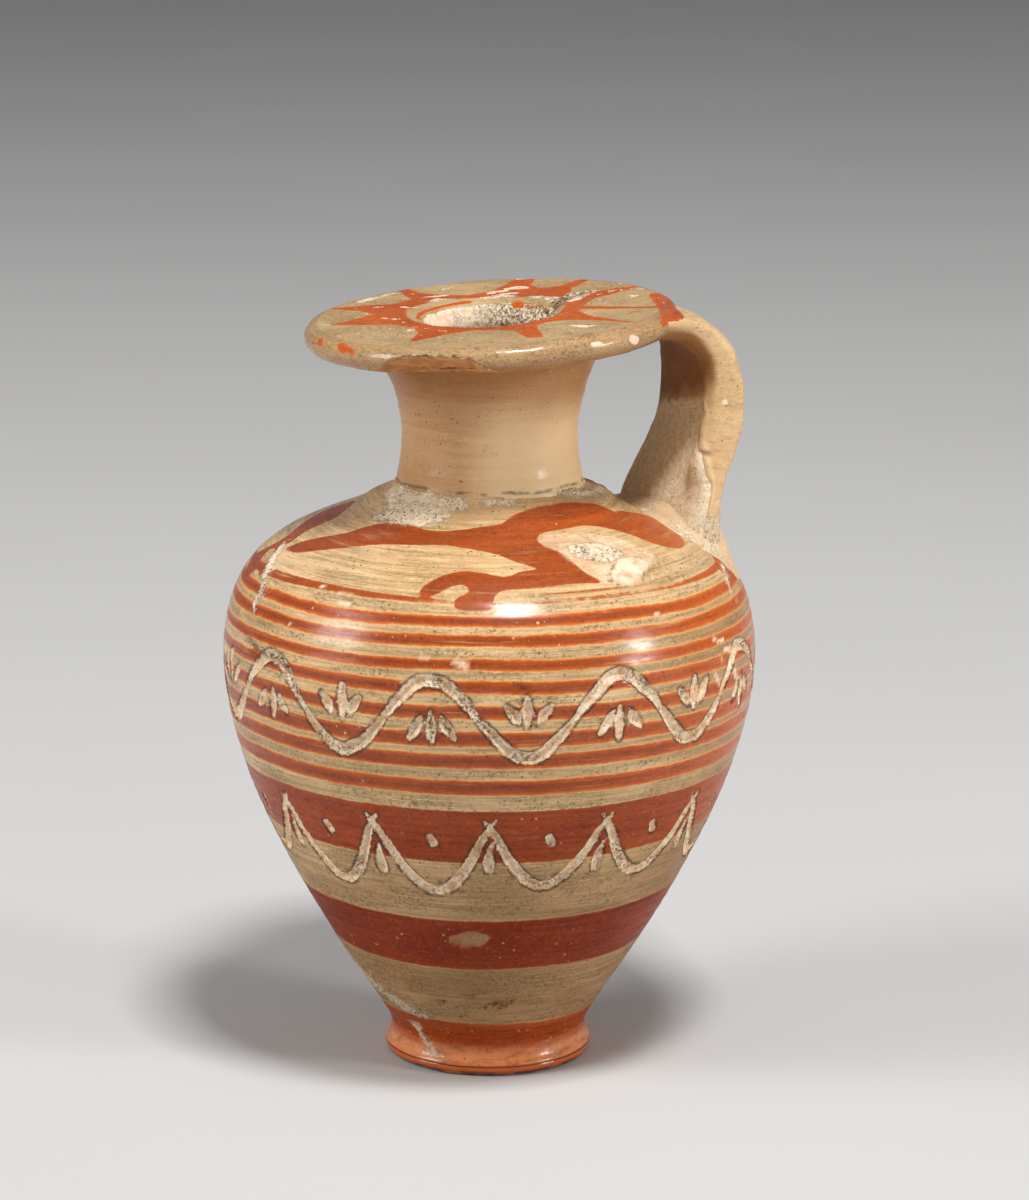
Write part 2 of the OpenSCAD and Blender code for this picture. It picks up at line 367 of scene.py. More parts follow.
class Value:
    """One shader number, so that sums on it read as plain sums."""

    def __init__(self, tree, socket):
        self.tree, self.socket = tree, socket

    def math(self, operation, *others):
        node = self.tree.nodes.new("ShaderNodeMath")
        node.operation = operation
        for place, given in enumerate((self, *others)):
            put(self.tree, node.inputs[place], given)
        return Value(self.tree, node.outputs[0])

    def __add__(self, other):
        return self.math("ADD", other)

    __radd__ = __add__

    def __mul__(self, other):
        return self.math("MULTIPLY", other)

    __rmul__ = __mul__

    def __sub__(self, other):
        return self.math("SUBTRACT", other)

    def __rsub__(self, other):
        return (self * -1.0) + other

    def __neg__(self):
        return self * -1.0

    def __abs__(self):
        return self.math("ABSOLUTE")

    def least(self, other):
        return self.math("MINIMUM", other)

    def most(self, other):
        return self.math("MAXIMUM", other)

    def step(self, low, high):
        """0 below low, 1 above high, soft between; low may be the larger."""
        node = self.tree.nodes.new("ShaderNodeMapRange")
        node.interpolation_type = "SMOOTHSTEP"
        put(self.tree, node.inputs["Value"], self)
        put(self.tree, node.inputs["From Min"], low if low < high else high)
        put(self.tree, node.inputs["From Max"], high if low < high else low)
        put(self.tree, node.inputs["To Min"], 0.0 if low < high else 1.0)
        put(self.tree, node.inputs["To Max"], 1.0 if low < high else 0.0)
        return Value(self.tree, node.outputs["Result"])


def put(tree, where, given):
    """Links a shader value into a socket, or sets a plain one."""
    if isinstance(given, Value):
        tree.links.new(given.socket, where)
    else:
        where.default_value = given


class Surface:
    """One material being made: its tree, its places in mm and its noises."""

    def __init__(self, name):
        self.material = bpy.data.materials.new(name)
        self.material.use_nodes = True
        self.tree = self.material.node_tree
        self.shader = self.tree.nodes["Principled BSDF"]
        object_place = self.make("ShaderNodeTexCoord", {}, {}, "Object")
        self.place = self.make(
            "ShaderNodeVectorMath", {"operation": "SCALE"}, {0: object_place, "Scale": 1 / MM}, 0
        )
        self.x = self.make("ShaderNodeSeparateXYZ", {}, {0: self.place}, "X")
        self.y = self.make("ShaderNodeSeparateXYZ", {}, {0: self.place}, "Y")
        self.z = self.make("ShaderNodeSeparateXYZ", {}, {0: self.place}, "Z")

    def make(self, kind, settings, values, output):
        """One node: its type, its settings, its socket values and the output wanted."""
        node = self.tree.nodes.new(kind)
        for key, value in settings.items():
            setattr(node, key, value)
        for key, value in values.items():
            put(self.tree, node.inputs[key], value)
        return Value(self.tree, node.outputs[output])

    def stretched(self, size, flat=1.0, shift=0.0):
        """Places for a pattern of about size mm, flat times finer up the pot."""
        scaled = self.make(
            "ShaderNodeVectorMath",
            {"operation": "MULTIPLY"},
            {0: self.place, 1: (1 / size, 1 / size, flat / size)},
            0,
        )
        moved = (shift, shift, shift)
        return self.make("ShaderNodeVectorMath", {"operation": "ADD"}, {0: scaled, 1: moved}, 0)

    def noise(self, size, rough=0.55, shift=0.0, detail=3.0, flat=1.0):
        """Noise about 0.5 with features of about size mm, flat times finer up the pot."""
        place = self.stretched(size, flat, shift)
        values = {"Vector": place, "Scale": 1.0, "Detail": detail, "Roughness": rough}
        return self.make("ShaderNodeTexNoise", {}, values, 0)

    def patches(self, low, high, size, *shape, **more):
        """1 in uneven patches, where the noise passes from low to high."""
        return self.noise(size, *shape, **more).step(low, high)

    def uneven(self, amount, size, *shape, **more):
        """Noise about 0 that strays half of amount to either side."""
        return (self.noise(size, *shape, **more) - 0.5) * amount

    def specks(self, size, share, shift=0.0):
        """1 in scattered round specks; a larger share gives larger specks."""
        values = {"Vector": self.stretched(size, 1.0, shift), "Scale": 1.0, "Randomness": 1.0}
        far = self.make("ShaderNodeTexVoronoi", {"feature": "F1"}, values, "Distance")
        return far.step(share, share * 0.6)

    def mark(self, name):
        """A field stored on the mesh."""
        return self.make("ShaderNodeAttribute", {"attribute_name": name}, {}, "Fac")

    def mix(self, share, under, over):
        """Colour under with share of colour over on it."""
        return self.make("ShaderNodeMix", {"data_type": "RGBA"}, {0: share, 6: under, 7: over}, 2)

    def finish(self, colour, roughness, height, depth, gloss=0.0):
        """Links the colour, the roughness, the burnish and a fine relief of depth mm into the shader."""
        put(self.tree, self.shader.inputs["Base Color"], colour)
        put(self.tree, self.shader.inputs["Roughness"], roughness)
        put(self.tree, self.shader.inputs["Coat Weight"], gloss)
        self.shader.inputs["Coat Roughness"].default_value = 0.2
        self.shader.inputs["Specular IOR Level"].default_value = 0.1
        values = {"Strength": 1.0, "Distance": depth * MM, "Height": height}
        put(self.tree, self.shader.inputs["Normal"], self.make("ShaderNodeBump", {}, values, 0))
        return self.material


# Colours of the clay and the slip
CLAY_CREAM = tone(242, 211, 164)
CLAY_LIGHT = tone(222, 184, 136)
CLAY_MID = tone(206, 168, 118)
CLAY_OLIVE = tone(140, 116, 78)
CLAY_PINK = tone(224, 174, 134)
CLAY_BROWN = tone(150, 98, 54)
CLAY_EARTH = tone(108, 66, 34)
SLIP_ORANGE = tone(214, 102, 34)
SLIP_RED = tone(158, 68, 26)
SLIP_BROWN = tone(120, 34, 0)
SLIP_DARK = tone(78, 24, 6)
CHALK = tone(246, 226, 196)
CRUST_GREY = tone(232, 208, 176)
CRUST_DARK = tone(104, 88, 66)
SPECK_BLACK = tone(48, 36, 24)
SLIP_HALO = tone(238, 176, 104)
GROOVE_BUFF = tone(226, 184, 144)
FLAKE_BUFF = tone(226, 180, 144)
NECK_SHADE_BROWN = tone(182, 130, 82)
BREAK_BROWN = tone(178, 122, 76)
BREAK_BUFF = tone(208, 152, 102)
FILM_PINK = tone(232, 196, 172)
DAUB_ORANGE = tone(216, 90, 32)
STRAP_SHADE_BROWN = tone(132, 82, 40)
CRUST_EARTH = tone(146, 118, 86)
FLARE_HIGHLIGHT = tone(246, 160, 100)
DUST_AND_FILL_BUFF = tone(232, 206, 166)
DUST_AND_FILL_PALE = tone(254, 240, 212)


def clay(s, warm=0.0, soot=0.5, lined=1.0):
    """Buff clay with fine level lines, sooty grain in patches and dark specks; returns colour and relief."""
    lines = s.noise(9.0, 0.74, detail=6.0, flat=46.0)
    fine = s.noise(1.8, 0.66, 4.1, flat=20.0)
    cloud = s.noise(6.0, 0.6, 9.3, flat=1.8)
    grain = s.noise(0.26, 0.8, 19.0, flat=1.3)
    sooty = s.patches(0.42, 0.6, 4.4, 0.66, 6.6, detail=4.0, flat=3.0)
    colour = s.mix(cloud.step(0.36, 0.64), CLAY_MID, CLAY_LIGHT)
    colour = s.mix(sooty * soot * 0.3, colour, CLAY_OLIVE)
    if lined:
        colour = s.mix(lines.step(0.49, 0.62) * (0.6 * lined), colour, CLAY_OLIVE)
        colour = s.mix(fine.step(0.52, 0.68) * (0.4 * lined), colour, CLAY_OLIVE)
        colour = s.mix(lines.step(0.46, 0.36) * (0.6 * lined), colour, CLAY_CREAM)
        colour = s.mix(fine.step(0.44, 0.3) * (0.5 * lined), colour, CLAY_CREAM)
    if warm:
        colour = s.mix(s.patches(0.3, 0.7, 5.0, 0.5, 2.7, detail=2.0) * warm, colour, CLAY_PINK)
    colour = s.mix(grain.step(0.5, 0.58) * (sooty * (0.6 * soot) + 0.16 * soot), colour, CLAY_OLIVE)
    colour = s.mix(grain.step(0.57, 0.64) * (sooty * (0.75 * soot) + 0.08 * soot), colour, CRUST_DARK)
    colour = s.mix(grain.step(0.44, 0.36) * 0.3, colour, CLAY_CREAM)
    dots = s.specks(0.42, 0.22) * s.patches(0.54, 0.62, 1.1, 0.5, 3.3, detail=1.0)
    dots = (dots + s.specks(0.9, 0.11, 2.2) * s.patches(0.5, 0.6, 2.1, 0.5, 5.3, detail=1.0)).least(1.0)
    colour = s.mix(dots * 0.7, colour, SPECK_BLACK)
    return colour, lines * (0.5 * lined) + fine * 0.3 + grain * 0.16 - dots * 0.5


def slip(s, edge, dark, bright=0.0):
    """Iron slip brushed on in level strokes: bright at its thin edges, darker within."""
    streaks = s.noise(9.0, 0.66, 12.0, detail=5.0, flat=40.0)
    cloud = s.noise(4.0, 0.6, 15.0, detail=4.0, flat=2.2)
    grain = s.noise(0.3, 0.76, 23.0, flat=1.4)
    colour = s.mix((streaks.step(0.46, 0.68) * 0.3 + bright).least(1.0), SLIP_RED, SLIP_ORANGE)
    colour = s.mix((cloud.step(0.42, 0.66) * 0.25 + dark).least(1.0), colour, SLIP_BROWN)
    colour = s.mix(streaks.step(0.48, 0.36) * (dark * 0.4 + 0.14), colour, SLIP_DARK)
    colour = s.mix(grain.step(0.52, 0.62) * 0.3, colour, SLIP_DARK)
    colour = s.mix(grain.step(0.44, 0.36) * 0.2, colour, SLIP_ORANGE)
    colour = s.mix(edge, colour, SLIP_ORANGE)
    specks = s.specks(0.5, 0.2, 9.0) * s.patches(0.54, 0.62, 1.4, 0.5, 10.3, detail=1.0)
    colour = s.mix(specks * 0.6, colour, SPECK_BLACK)
    return colour


# Bands of slip round the vessel as (top, bottom) heights in mm
THIN_BANDS = (
    (33.34, 32.7),
    (32.22, 31.53),
    (30.75, 30.1),
    (29.42, 28.63),
    (27.88, 27.04),
    (26.23, 25.27),
    (24.77, 23.82),
    (23.0, 22.0),
)
BROAD_BANDS = ((20.87, 17.14), (12.54, 8.52))
# The topmost line, as (azimuth, way up the wall, half width), thin where it passes under the hound
TOP_LINE = (
    ((-200, 33.5, 0.3), (-184, 33.7, 0.34), (-168, 33.85, 0.33), (-152, 34.0, 0.3), (-139, 33.95, 0.28),
     (-128, 33.9, 0.2), (-116, 33.85, 0.11), (-100, 33.75, 0.08), (-88, 33.85, 0.09), (-73, 33.85, 0.1),
     (-58, 33.8, 0.15), (-42, 33.8, 0.24), (-20, 33.9, 0.3), (10, 33.7, 0.3), (40, 33.9, 0.22),
     (70, 33.8, 0.3), (100, 33.6, 0.25), (130, 33.8, 0.3), (160, 33.5, 0.3)),
    ((-112, 34.3, 0.03), (-96, 34.35, 0.06), (-80, 34.4, 0.05), (-62, 34.3, 0.03)),
)
FOOT_PAINT_TOP = 3.79


def band_distance(s, z):
    """Distance in mm to the nearest band, below zero inside it."""
    best = z - FOOT_PAINT_TOP
    for top, bottom in THIN_BANDS + BROAD_BANDS:
        best = best.least(abs(z - (top + bottom) / 2) - (top - bottom) / 2)
    return best


def crusted(s, colour, share, dull=0.0):
    """Pale dusty deposit over a colour, ragged at its edges and dark in its pores; duller where earthy."""
    grain = s.noise(0.4, 0.8, 21.0, detail=4.0)
    tint = s.mix(grain.step(0.34, 0.5), CRUST_GREY, CHALK)
    tint = s.mix(dull, tint, CRUST_EARTH)
    pores = s.patches(0.56, 0.64, 0.2, 0.8, 31.0)
    pores = pores * s.patches(0.4, 0.56, 1.6, 0.6, 35.0)
    tint = s.mix(grain.step(0.46, 0.36) * (dull * 0.7 + 0.14), tint, CRUST_DARK)
    tint = s.mix(pores * 0.85, tint, SPECK_BLACK)
    ragged = s.uneven(1.7, 0.8, 0.78, 25.0, detail=5.0)
    ragged = ragged + s.uneven(1.3, 0.24, 0.8, 27.0)
    patchy = (share + ragged).step(0.28, 0.66)
    return s.mix(patchy * 0.88, colour, tint), patchy, grain - pores * 0.6


def polish(s, rub):
    """Roughness of the burnished surface, broken up by wear."""
    wear = s.patches(0.35, 0.7, 2.2, 0.65, 55.0, detail=4.0, flat=8.0) * 0.16
    return wear + s.patches(0.5, 0.7, 0.35, 0.7, 57.0) * 0.16 + rub


def burnish(s, rub, most=0.7):
    """Thin gloss left on the burnished surface, rubbed off in spots and on bare places."""
    left = s.patches(0.66, 0.42, 1.1, 0.7, 59.0, detail=4.0, flat=4.0) * 0.6 + 0.4
    return left * (1.0 - rub) * (s.z.step(14.0, 27.0) * 0.9 + 0.1) * most


def body_paint():
    """Clay with the bands, the running hounds, the scratched ornament and the damage."""
    s = Surface("banded_clay")
    wobble = s.uneven(0.7, 14.0, 0.5, 40.0, detail=1.0)
    wobble = wobble + s.uneven(0.2, 1.6, 0.6, 44.0, flat=2.0)
    wobble = wobble + s.uneven(0.14, 0.4, 0.6, 46.0, detail=2.0, flat=1.6)
    z = s.z + wobble
    under, relief = clay(s, 0.0, s.z.step(35.2, 33.4) * 0.6 + 0.4)
    between = s.z.step(34.5, 32.5) * s.patches(0.36, 0.62, 7.0, 0.6, 49.0, flat=1.4)
    under = s.mix(between * 0.3, under, CLAY_OLIVE)
    # Painted shade: the clay below the shoulder is browner towards the right, where the light falls off.
    right = s.x.step(2.0, 14.0)
    under = s.mix(right * s.z.step(34.0, 31.0) * 0.62, under, CLAY_BROWN)
    # Darker and browner towards the bottom: partly the clay's own earthy tone, partly painted shade from
    # light falling from above.
    low = s.z.step(22.0, 7.0)
    under = s.mix(low * 0.45 + s.z.step(18.0, 16.0) * 0.14, under, CLAY_EARTH)
    worn = s.noise(6.0, 0.6, 52.0, flat=20.0)
    bands = band_distance(s, z)
    figure = s.mark("figure") + wobble * 0.4 + s.uneven(0.16, 0.5, 0.6, 47.0)
    far = bands.least(figure)
    broad = z.step(21.6, 21.2) * z.step(6.5, 7.0)
    edge = far.step(-0.18, -0.03)
    halo = far.step(0.2, 0.0)
    middle = bands.step(-0.2, -0.34) * (1.0 - broad)
    striped = z.step(21.8, 22.1) * (figure - bands).step(0.0, 0.1)
    # Painted shade darkens the thin bands on the left, and painted light makes the slip lighter and more
    # orange towards the right.
    deep = broad * (0.4 + z.step(16.0, 14.0) * 0.46) + (1.0 - broad) * s.x.step(3.0, -3.0) * 0.14
    dark = (deep + middle * 0.26).least(0.9) - right * 0.24
    paint = slip(s, edge * (striped * 0.6 + 0.16), dark, right * 0.4 + 0.08)
    chips = s.specks(0.9, 0.14, 7.0) * s.patches(0.54, 0.64, 3.0, 0.5, 8.0, detail=2.0)
    cover = far.step(0.05, -0.05) * (1.0 - chips) * (1.0 - worn.step(0.58, 0.78) * (0.5 - broad * 0.46))
    colour = s.mix(halo * (striped * 0.4 + 0.15), under, SLIP_HALO)
    colour = s.mix(cover * (broad * 0.025 + 0.97), colour, paint)
    groove = s.mark("groove") + s.uneven(0.42, 0.36, 0.74, 61.0, detail=4.0)
    inside = groove.step(0.05, -0.07)
    # The dark rim round the cuts is partly dirt and partly painted shade along their edges.
    rim = groove.step(0.24, 0.05) * (1.0 - inside)
    colour = s.mix(rim * s.patches(0.36, 0.56, 0.8, 0.6, 64.0) * 0.8, colour, SPECK_BLACK)
    chalk = s.mix(s.patches(0.35, 0.65, 0.7, 0.6, 66.0), CHALK, GROOVE_BUFF)
    chalk = s.mix(s.patches(0.54, 0.64, 0.2, 0.75, 68.0) * 0.6, chalk, CLAY_BROWN)
    soiled = s.patches(0.48, 0.62, 5.0, 0.6, 69.0)
    chalk = s.mix(s.patches(0.48, 0.58, 0.26, 0.75, 70.0) * soiled * 0.85, chalk, CRUST_DARK)
    colour = s.mix(inside, colour, chalk)
    bare = s.mark("bare")
    flesh = s.mix(s.patches(0.4, 0.6, 1.2, 0.6, 71.0, detail=4.0), FLAKE_BUFF, CHALK)
    flesh = s.mix(s.patches(0.55, 0.66, 0.24, 0.7, 73.0) * 0.5, flesh, CLAY_BROWN)
    flesh = s.mix(s.z.step(16.0, 12.0) * 0.85, flesh, CLAY_BROWN)
    earthy = s.z.step(7.4, 6.6) * s.patches(0.44, 0.54, 0.3, 0.8, 76.0)
    flesh = s.mix(earthy * 0.9, flesh, CLAY_EARTH)
    colour = s.mix(bare, colour, flesh)
    colour, deposit, grain = crusted(s, colour, s.mark("crust"), s.z.step(20.0, 8.0) * 0.55)
    dirt = s.mark("dirt")
    colour = s.mix(dirt * s.patches(0.4, 0.52, 0.3, 0.8, 75.0) * 0.85, colour, SPECK_BLACK)
    rub = inside.most(deposit).most(bare)
    roughness = (polish(s, 0.34) + rub * 0.4).least(0.92)
    pitted = s.noise(0.22, 0.7, 3.0)
    height = relief * 0.4 + cover * 0.14 + deposit * grain * 1.4 + inside * pitted * 1.1 + bare * pitted * 0.5
    return s.finish(colour, roughness, height, 0.09, burnish(s, rub))


def foot_paint():
    """Slip over the foot, worn through on its edge and under it, with a painted highlight round its flare."""
    s = Surface("red_slip")
    under, relief = clay(s, 0.0, 0.6)
    ledge = s.z.step(0.3, 0.45) * s.z.step(0.7, 0.6)
    # A painted highlight, pale buff, round the foot's flare.
    flare = s.z.step(0.7, 0.84) * s.z.step(2.3, 1.0)
    paint = slip(s, ledge * 0.7, s.z.step(1.0, 2.6) * 0.34, s.z.step(2.8, 1.6) * 0.2 + 0.1)
    paint = s.mix(flare * s.patches(0.2, 0.6, 1.2, 0.6, 85.0, flat=3.0) * 0.72, paint, FLARE_HIGHLIGHT)
    worn = s.noise(1.6, 0.65, 82.0, detail=4.0, flat=1.5)
    low = (s.z + (worn - 0.5) * 0.9).step(0.28, 0.02)
    cover = (1.0 - low) * (1.0 - s.specks(0.8, 0.16, 7.0))
    colour = s.mix(cover, s.mix(0.6, under, SLIP_BROWN), paint)
    groove = abs(s.z - FOOT_GROOVE_Z + (worn - 0.5) * 0.06).step(0.07, 0.01)
    colour = s.mix(groove * 0.75, colour, SLIP_DARK)
    colour = s.mix(s.z.step(0.44, 0.2) * worn.step(0.42, 0.56) * 0.85, colour, SPECK_BLACK)
    rubbed = s.z.step(0.7, 1.1) * s.z.step(2.3, 1.7) * s.patches(0.6, 0.7, 0.5, 0.75, 84.0, detail=4.0)
    colour = s.mix(rubbed * s.patches(0.5, 0.6, 3.2, 0.5, 86.0, detail=2.0) * 0.7, colour, CHALK)
    colour, deposit, grain = crusted(s, colour, s.mark("crust"), 0.4)
    rub = deposit.most(low)
    roughness = (polish(s, 0.3) + rub * 0.4).least(0.9)
    height = relief * 0.3 - groove * 0.3 + deposit * grain
    return s.finish(colour, roughness, height, 0.07, (1.0 - rub) * s.z.step(2.4, 1.4) * 0.8)


def neck_clay():
    """Plain buff neck with painted shade, browner overall, towards the top under the disc and on its left,
    and painted light in its middle; a dark line and deposit at its foot.
    """
    s = Surface("buff_clay_neck")
    colour, relief = clay(s, 0.3, 0.22, 0.25)
    turning = s.noise(9.0, 0.6, 88.0, detail=4.0, flat=16.0)
    colour = s.mix(turning.step(0.5, 0.64) * 0.22, colour, CLAY_BROWN)
    # Painted shade: the whole neck is browned a little, and its left side more.
    colour = s.mix(0.14, colour, NECK_SHADE_BROWN)
    colour = s.mix((-s.x).step(1.5, 6.0) * 0.4, colour, CLAY_BROWN)
    # Painted light: the middle of the neck below the disc's edge is lighter.
    colour = s.mix(s.x.step(-4.0, -0.5) * s.z.step(46.0, 43.0) * 0.75, colour, CLAY_CREAM)
    # Painted shade: browner towards the top, under the disc.
    high = (s.z + s.uneven(3.0, 4.0, 0.5, 3.0)).step(42.0, 47.4)
    colour = s.mix(high * 0.75, colour, CLAY_BROWN)
    uneven = s.uneven(0.5, 3.0, 0.5, 12.0, detail=2.0)
    line = abs(s.z + uneven - NECK_LINE_Z).step(0.16, 0.03) * s.patches(0.44, 0.6, 1.6, 0.6, 13.0)
    colour = s.mix(line * 0.75, colour, CRUST_DARK)
    colour, deposit, grain = crusted(s, colour, s.mark("crust"))
    roughness = (polish(s, 0.4) + deposit * 0.3).least(0.9)
    height = relief * 0.7 + turning * 0.5 - line * 0.5 + deposit * grain
    return s.finish(colour, roughness, height, 0.07, burnish(s, deposit, 0.25))


def coil_clay():
    """The coil at the neck's foot, caked with pale deposit, the hound's back painted over it."""
    s = Surface("buff_clay_coil")
    colour, relief = clay(s, 0.2, 0.6, 0.6)
    figure = s.mark("figure") + s.uneven(0.16, 0.5, 0.6, 47.0)
    paint = slip(s, figure.step(-0.18, -0.03) * 0.8, 0.0, 0.06)
    cover = figure.step(0.05, -0.05)
    colour = s.mix(cover * 0.97, colour, paint)
    colour, deposit, grain = crusted(s, colour, s.mark("crust"))
    roughness = (polish(s, 0.36) + deposit * 0.4).least(0.9)
    return s.finish(colour, roughness, relief + deposit * grain * 1.4, 0.09, burnish(s, deposit, 0.5))


def disc_paint():
    """The mouth: a star of slip on its top, a chipped lip and deposit in the hole."""
    s = Surface("rayed_clay")
    under, relief = clay(s, 0.0, 0.9, 0.4)
    lip = s.mark("lip")
    under = s.mix((1.0 - lip) * 0.36, under, CLAY_OLIVE)
    stipple = s.noise(0.15, 0.8, 90.0, flat=1.4)
    # Painted shade: the lip is browned, and the disc's lower part more.
    under = s.mix(lip * 0.38 + s.mark("low") * 0.4, under, CLAY_BROWN)
    under = s.mix(stipple.step(0.49, 0.58) * lip * 0.6, under, CLAY_OLIVE)
    under = s.mix(stipple.step(0.58, 0.64) * lip * 0.6, under, CRUST_DARK)
    rays = s.mark("rays") + s.uneven(0.3, 0.8, 0.6, 91.0)
    paint = slip(s, rays.step(-0.3, -0.02) * 0.4, 0.0, 0.5)
    wear = s.patches(0.62, 0.7, 0.9, 0.72, 93.0, detail=4.0)
    cover = rays.step(0.04, -0.05) * (1.0 - wear * 0.8)
    colour = s.mix(cover, under, paint)
    flakes = s.patches(0.63, 0.66, 1.1, 0.7, 94.0)
    flakes = flakes * s.patches(0.45, 0.6, 4.0, 0.5, 96.0, detail=1.0)
    colour = s.mix(flakes * (1.0 - lip) * 0.9, colour, CHALK)
    broken = s.mark("broken")
    inner = s.mix(s.patches(0.35, 0.65, 1.4, 0.6, 95.0, flat=2.0), BREAK_BROWN, BREAK_BUFF)
    colour = s.mix(broken, colour, inner)
    cracked = s.noise(0.5, 0.75, 99.0, detail=4.0, flat=2.0)
    colour = s.mix(s.mark("fresh") * cracked.step(0.52, 0.44) * 0.8, colour, CLAY_EARTH)
    fresh = s.mark("fresh") * cracked.step(0.5, 0.58)
    colour = s.mix(fresh * 0.9, colour, CHALK)
    film = (s.mark("film") + s.uneven(2.2, 0.6, 0.78, 97.0, detail=5.0)).step(0.4, 0.62)
    pale = s.mix(s.patches(0.4, 0.6, 0.5, 0.7, 98.0), FILM_PINK, CHALK)
    colour = s.mix(film * 0.9, colour, pale)
    colour, deposit, grain = crusted(s, colour, s.mark("crust"))
    soot = s.mark("sooty") * s.patches(0.46, 0.53, 0.26, 0.85, 101.0)
    colour = s.mix(soot * 0.95, colour, SPECK_BLACK)
    daub = s.mark("daub") + s.uneven(0.9, 0.5, 0.72, 103.0, detail=4.0)
    daub_tint = s.mix((s.x + s.uneven(2.0, 0.4)).step(3.0, 4.4), DAUB_ORANGE, CLAY_BROWN)
    colour = s.mix(daub.step(0.06, -0.06), colour, daub_tint)
    rub = broken.most(deposit).most(film)
    roughness = (polish(s, 0.34) + rub * 0.35).least(0.9)
    height = relief * 0.4 + stipple * lip * 0.25 + cover * 0.12 + film * 0.2 + deposit * grain * 1.3
    height = height + fresh * 0.3 + broken * s.noise(0.8, 0.6, 105.0, detail=4.0) * 0.9
    return s.finish(colour, roughness, height, 0.08, burnish(s, rub, 0.8) * (lip * 0.85 + 0.15))


def strap_clay():
    """The handle: warm buff, with painted shade browning the inner face at the top, a painted highlight on
    the near edge's raised line, and dusty deposit lower down, partly lightened as painted fill light.
    """
    s = Surface("buff_clay_strap")
    colour, relief = clay(s, 0.3, 0.35, 0.0)
    wrinkle = s.noise(1.2, 0.66, 99.0, detail=4.0, flat=2.6)
    colour = s.mix(wrinkle.step(0.54, 0.66) * 0.35, colour, CLAY_BROWN)
    colour = s.mix(0.16, colour, CLAY_CREAM)
    rays = s.mark("rays") + s.uneven(0.3, 0.8, 0.6, 91.0)
    paint = slip(s, rays.step(-0.3, -0.02) * 0.4, 0.0, 0.42)
    colour = s.mix(rays.step(0.04, -0.05), colour, paint)
    inner = s.mark("inner")
    # Painted shade: the inner face is browned above a slanting line near its top.
    slanted = s.z + s.y * 0.21 + s.uneven(2.0, 3.0, 0.5, 33.0)
    upper = inner * slanted.step(42.8, 44.8)
    colour = s.mix(upper * 0.88, colour, STRAP_SHADE_BROWN)
    # A painted highlight along the raised line on the near edge.
    colour = s.mix(s.mark("ridge") * 0.5, colour, CLAY_CREAM)
    colour = s.mix(s.mark("dent") * 0.7, colour, CRUST_DARK)
    # Deposit on the inner face, made paler than its own colour as painted fill light into the shade there.
    dusty = s.mix(s.patches(0.36, 0.6, 0.4, 0.8, 107.0, detail=4.0), DUST_AND_FILL_BUFF, DUST_AND_FILL_PALE)
    dusty = s.mix(s.patches(0.58, 0.66, 0.2, 0.8, 109.0) * 0.6, dusty, SPECK_BLACK)
    pop = s.mark("pop") + s.uneven(1.1, 0.26, 0.7, 115.0)
    colour = s.mix(pop.step(0.34, 0.5) * s.mark("pop").step(0.0, 0.2), colour, CHALK)
    colour = s.mix(pop.step(0.78, 0.9) * s.mark("pop").step(0.4, 0.7), colour, CRUST_DARK)
    share = (s.mark("crust") + s.uneven(0.9, 1.4, 0.7, 111.0, detail=4.0)).step(0.25, 0.6)
    colour = s.mix(share * 0.85, colour, dusty)
    colour, deposit, grain = crusted(s, colour, s.mark("caked"), 0.25)
    share = share.most(deposit)
    roughness = (polish(s, 0.4) + share * 0.3 + inner * 0.2).least(0.9)
    crumbs = share * s.noise(0.3, 0.8, 113.0, detail=4.0)
    height = relief * 0.3 + wrinkle * (1.0 - inner * 0.6) * 0.9 + crumbs * 0.9
    return s.finish(colour, roughness, height, 0.1, burnish(s, share.most(inner), 0.3))


def root_clay():
    """The clay pressed round the strap's root."""
    s = Surface("buff_clay_root")
    colour, relief = clay(s, 0.3, 0.5, 0.3)
    colour = s.mix(s.mark("ridge") * 0.1 + 0.26, colour, CHALK)
    colour, deposit, grain = crusted(s, colour, s.mark("crust"))
    roughness = (polish(s, 0.4) + deposit * 0.3).least(0.9)
    return s.finish(colour, roughness, relief + deposit * grain, 0.09, burnish(s, deposit, 0.3))


# Corners of a running hound's body as (azimuth, way up the wall), nose to tail and back
HOUND = (
    (-179, 35.6), (-178, 36.6), (-173, 37.8), (-166, 39.0), (-163, 40.0), (-157, 40.8), (-150, 41.1),
    (-141, 41.1), (-133, 40.9), (-124, 41.0), (-112, 41.5), (-103, 41.8), (-96, 42.6), (-86, 43.2),
    (-76, 43.4), (-64, 43.4), (-54, 43.0), (-43, 42.1), (-37, 40.8), (-33, 39.2), (-31, 37.6), (-33, 36.7),
    (-38, 36.2), (-44, 36.4), (-49, 37.5), (-53, 39.3), (-59, 40.4), (-68, 40.9), (-78, 40.8), (-87, 40.6),
    (-90, 40.0), (-89, 39.1), (-84, 38.2), (-83, 37.0), (-82, 36.0), (-79, 35.0), (-86, 35.1), (-97, 34.9),
    (-105, 34.7), (-107, 33.9), (-108, 33.3), (-115, 33.3), (-116, 34.0), (-113, 34.7), (-115, 35.2),
    (-118, 34.9), (-121, 34.3), (-124, 34.1), (-125, 34.7), (-122, 35.7), (-116, 36.5), (-110, 36.4),
    (-104, 36.0), (-99, 36.5), (-95, 36.7), (-100, 37.4), (-106, 38.3), (-114, 38.9), (-124, 39.2),
    (-136, 38.9), (-148, 38.4), (-158, 37.4), (-166, 36.5), (-172, 35.8),
)
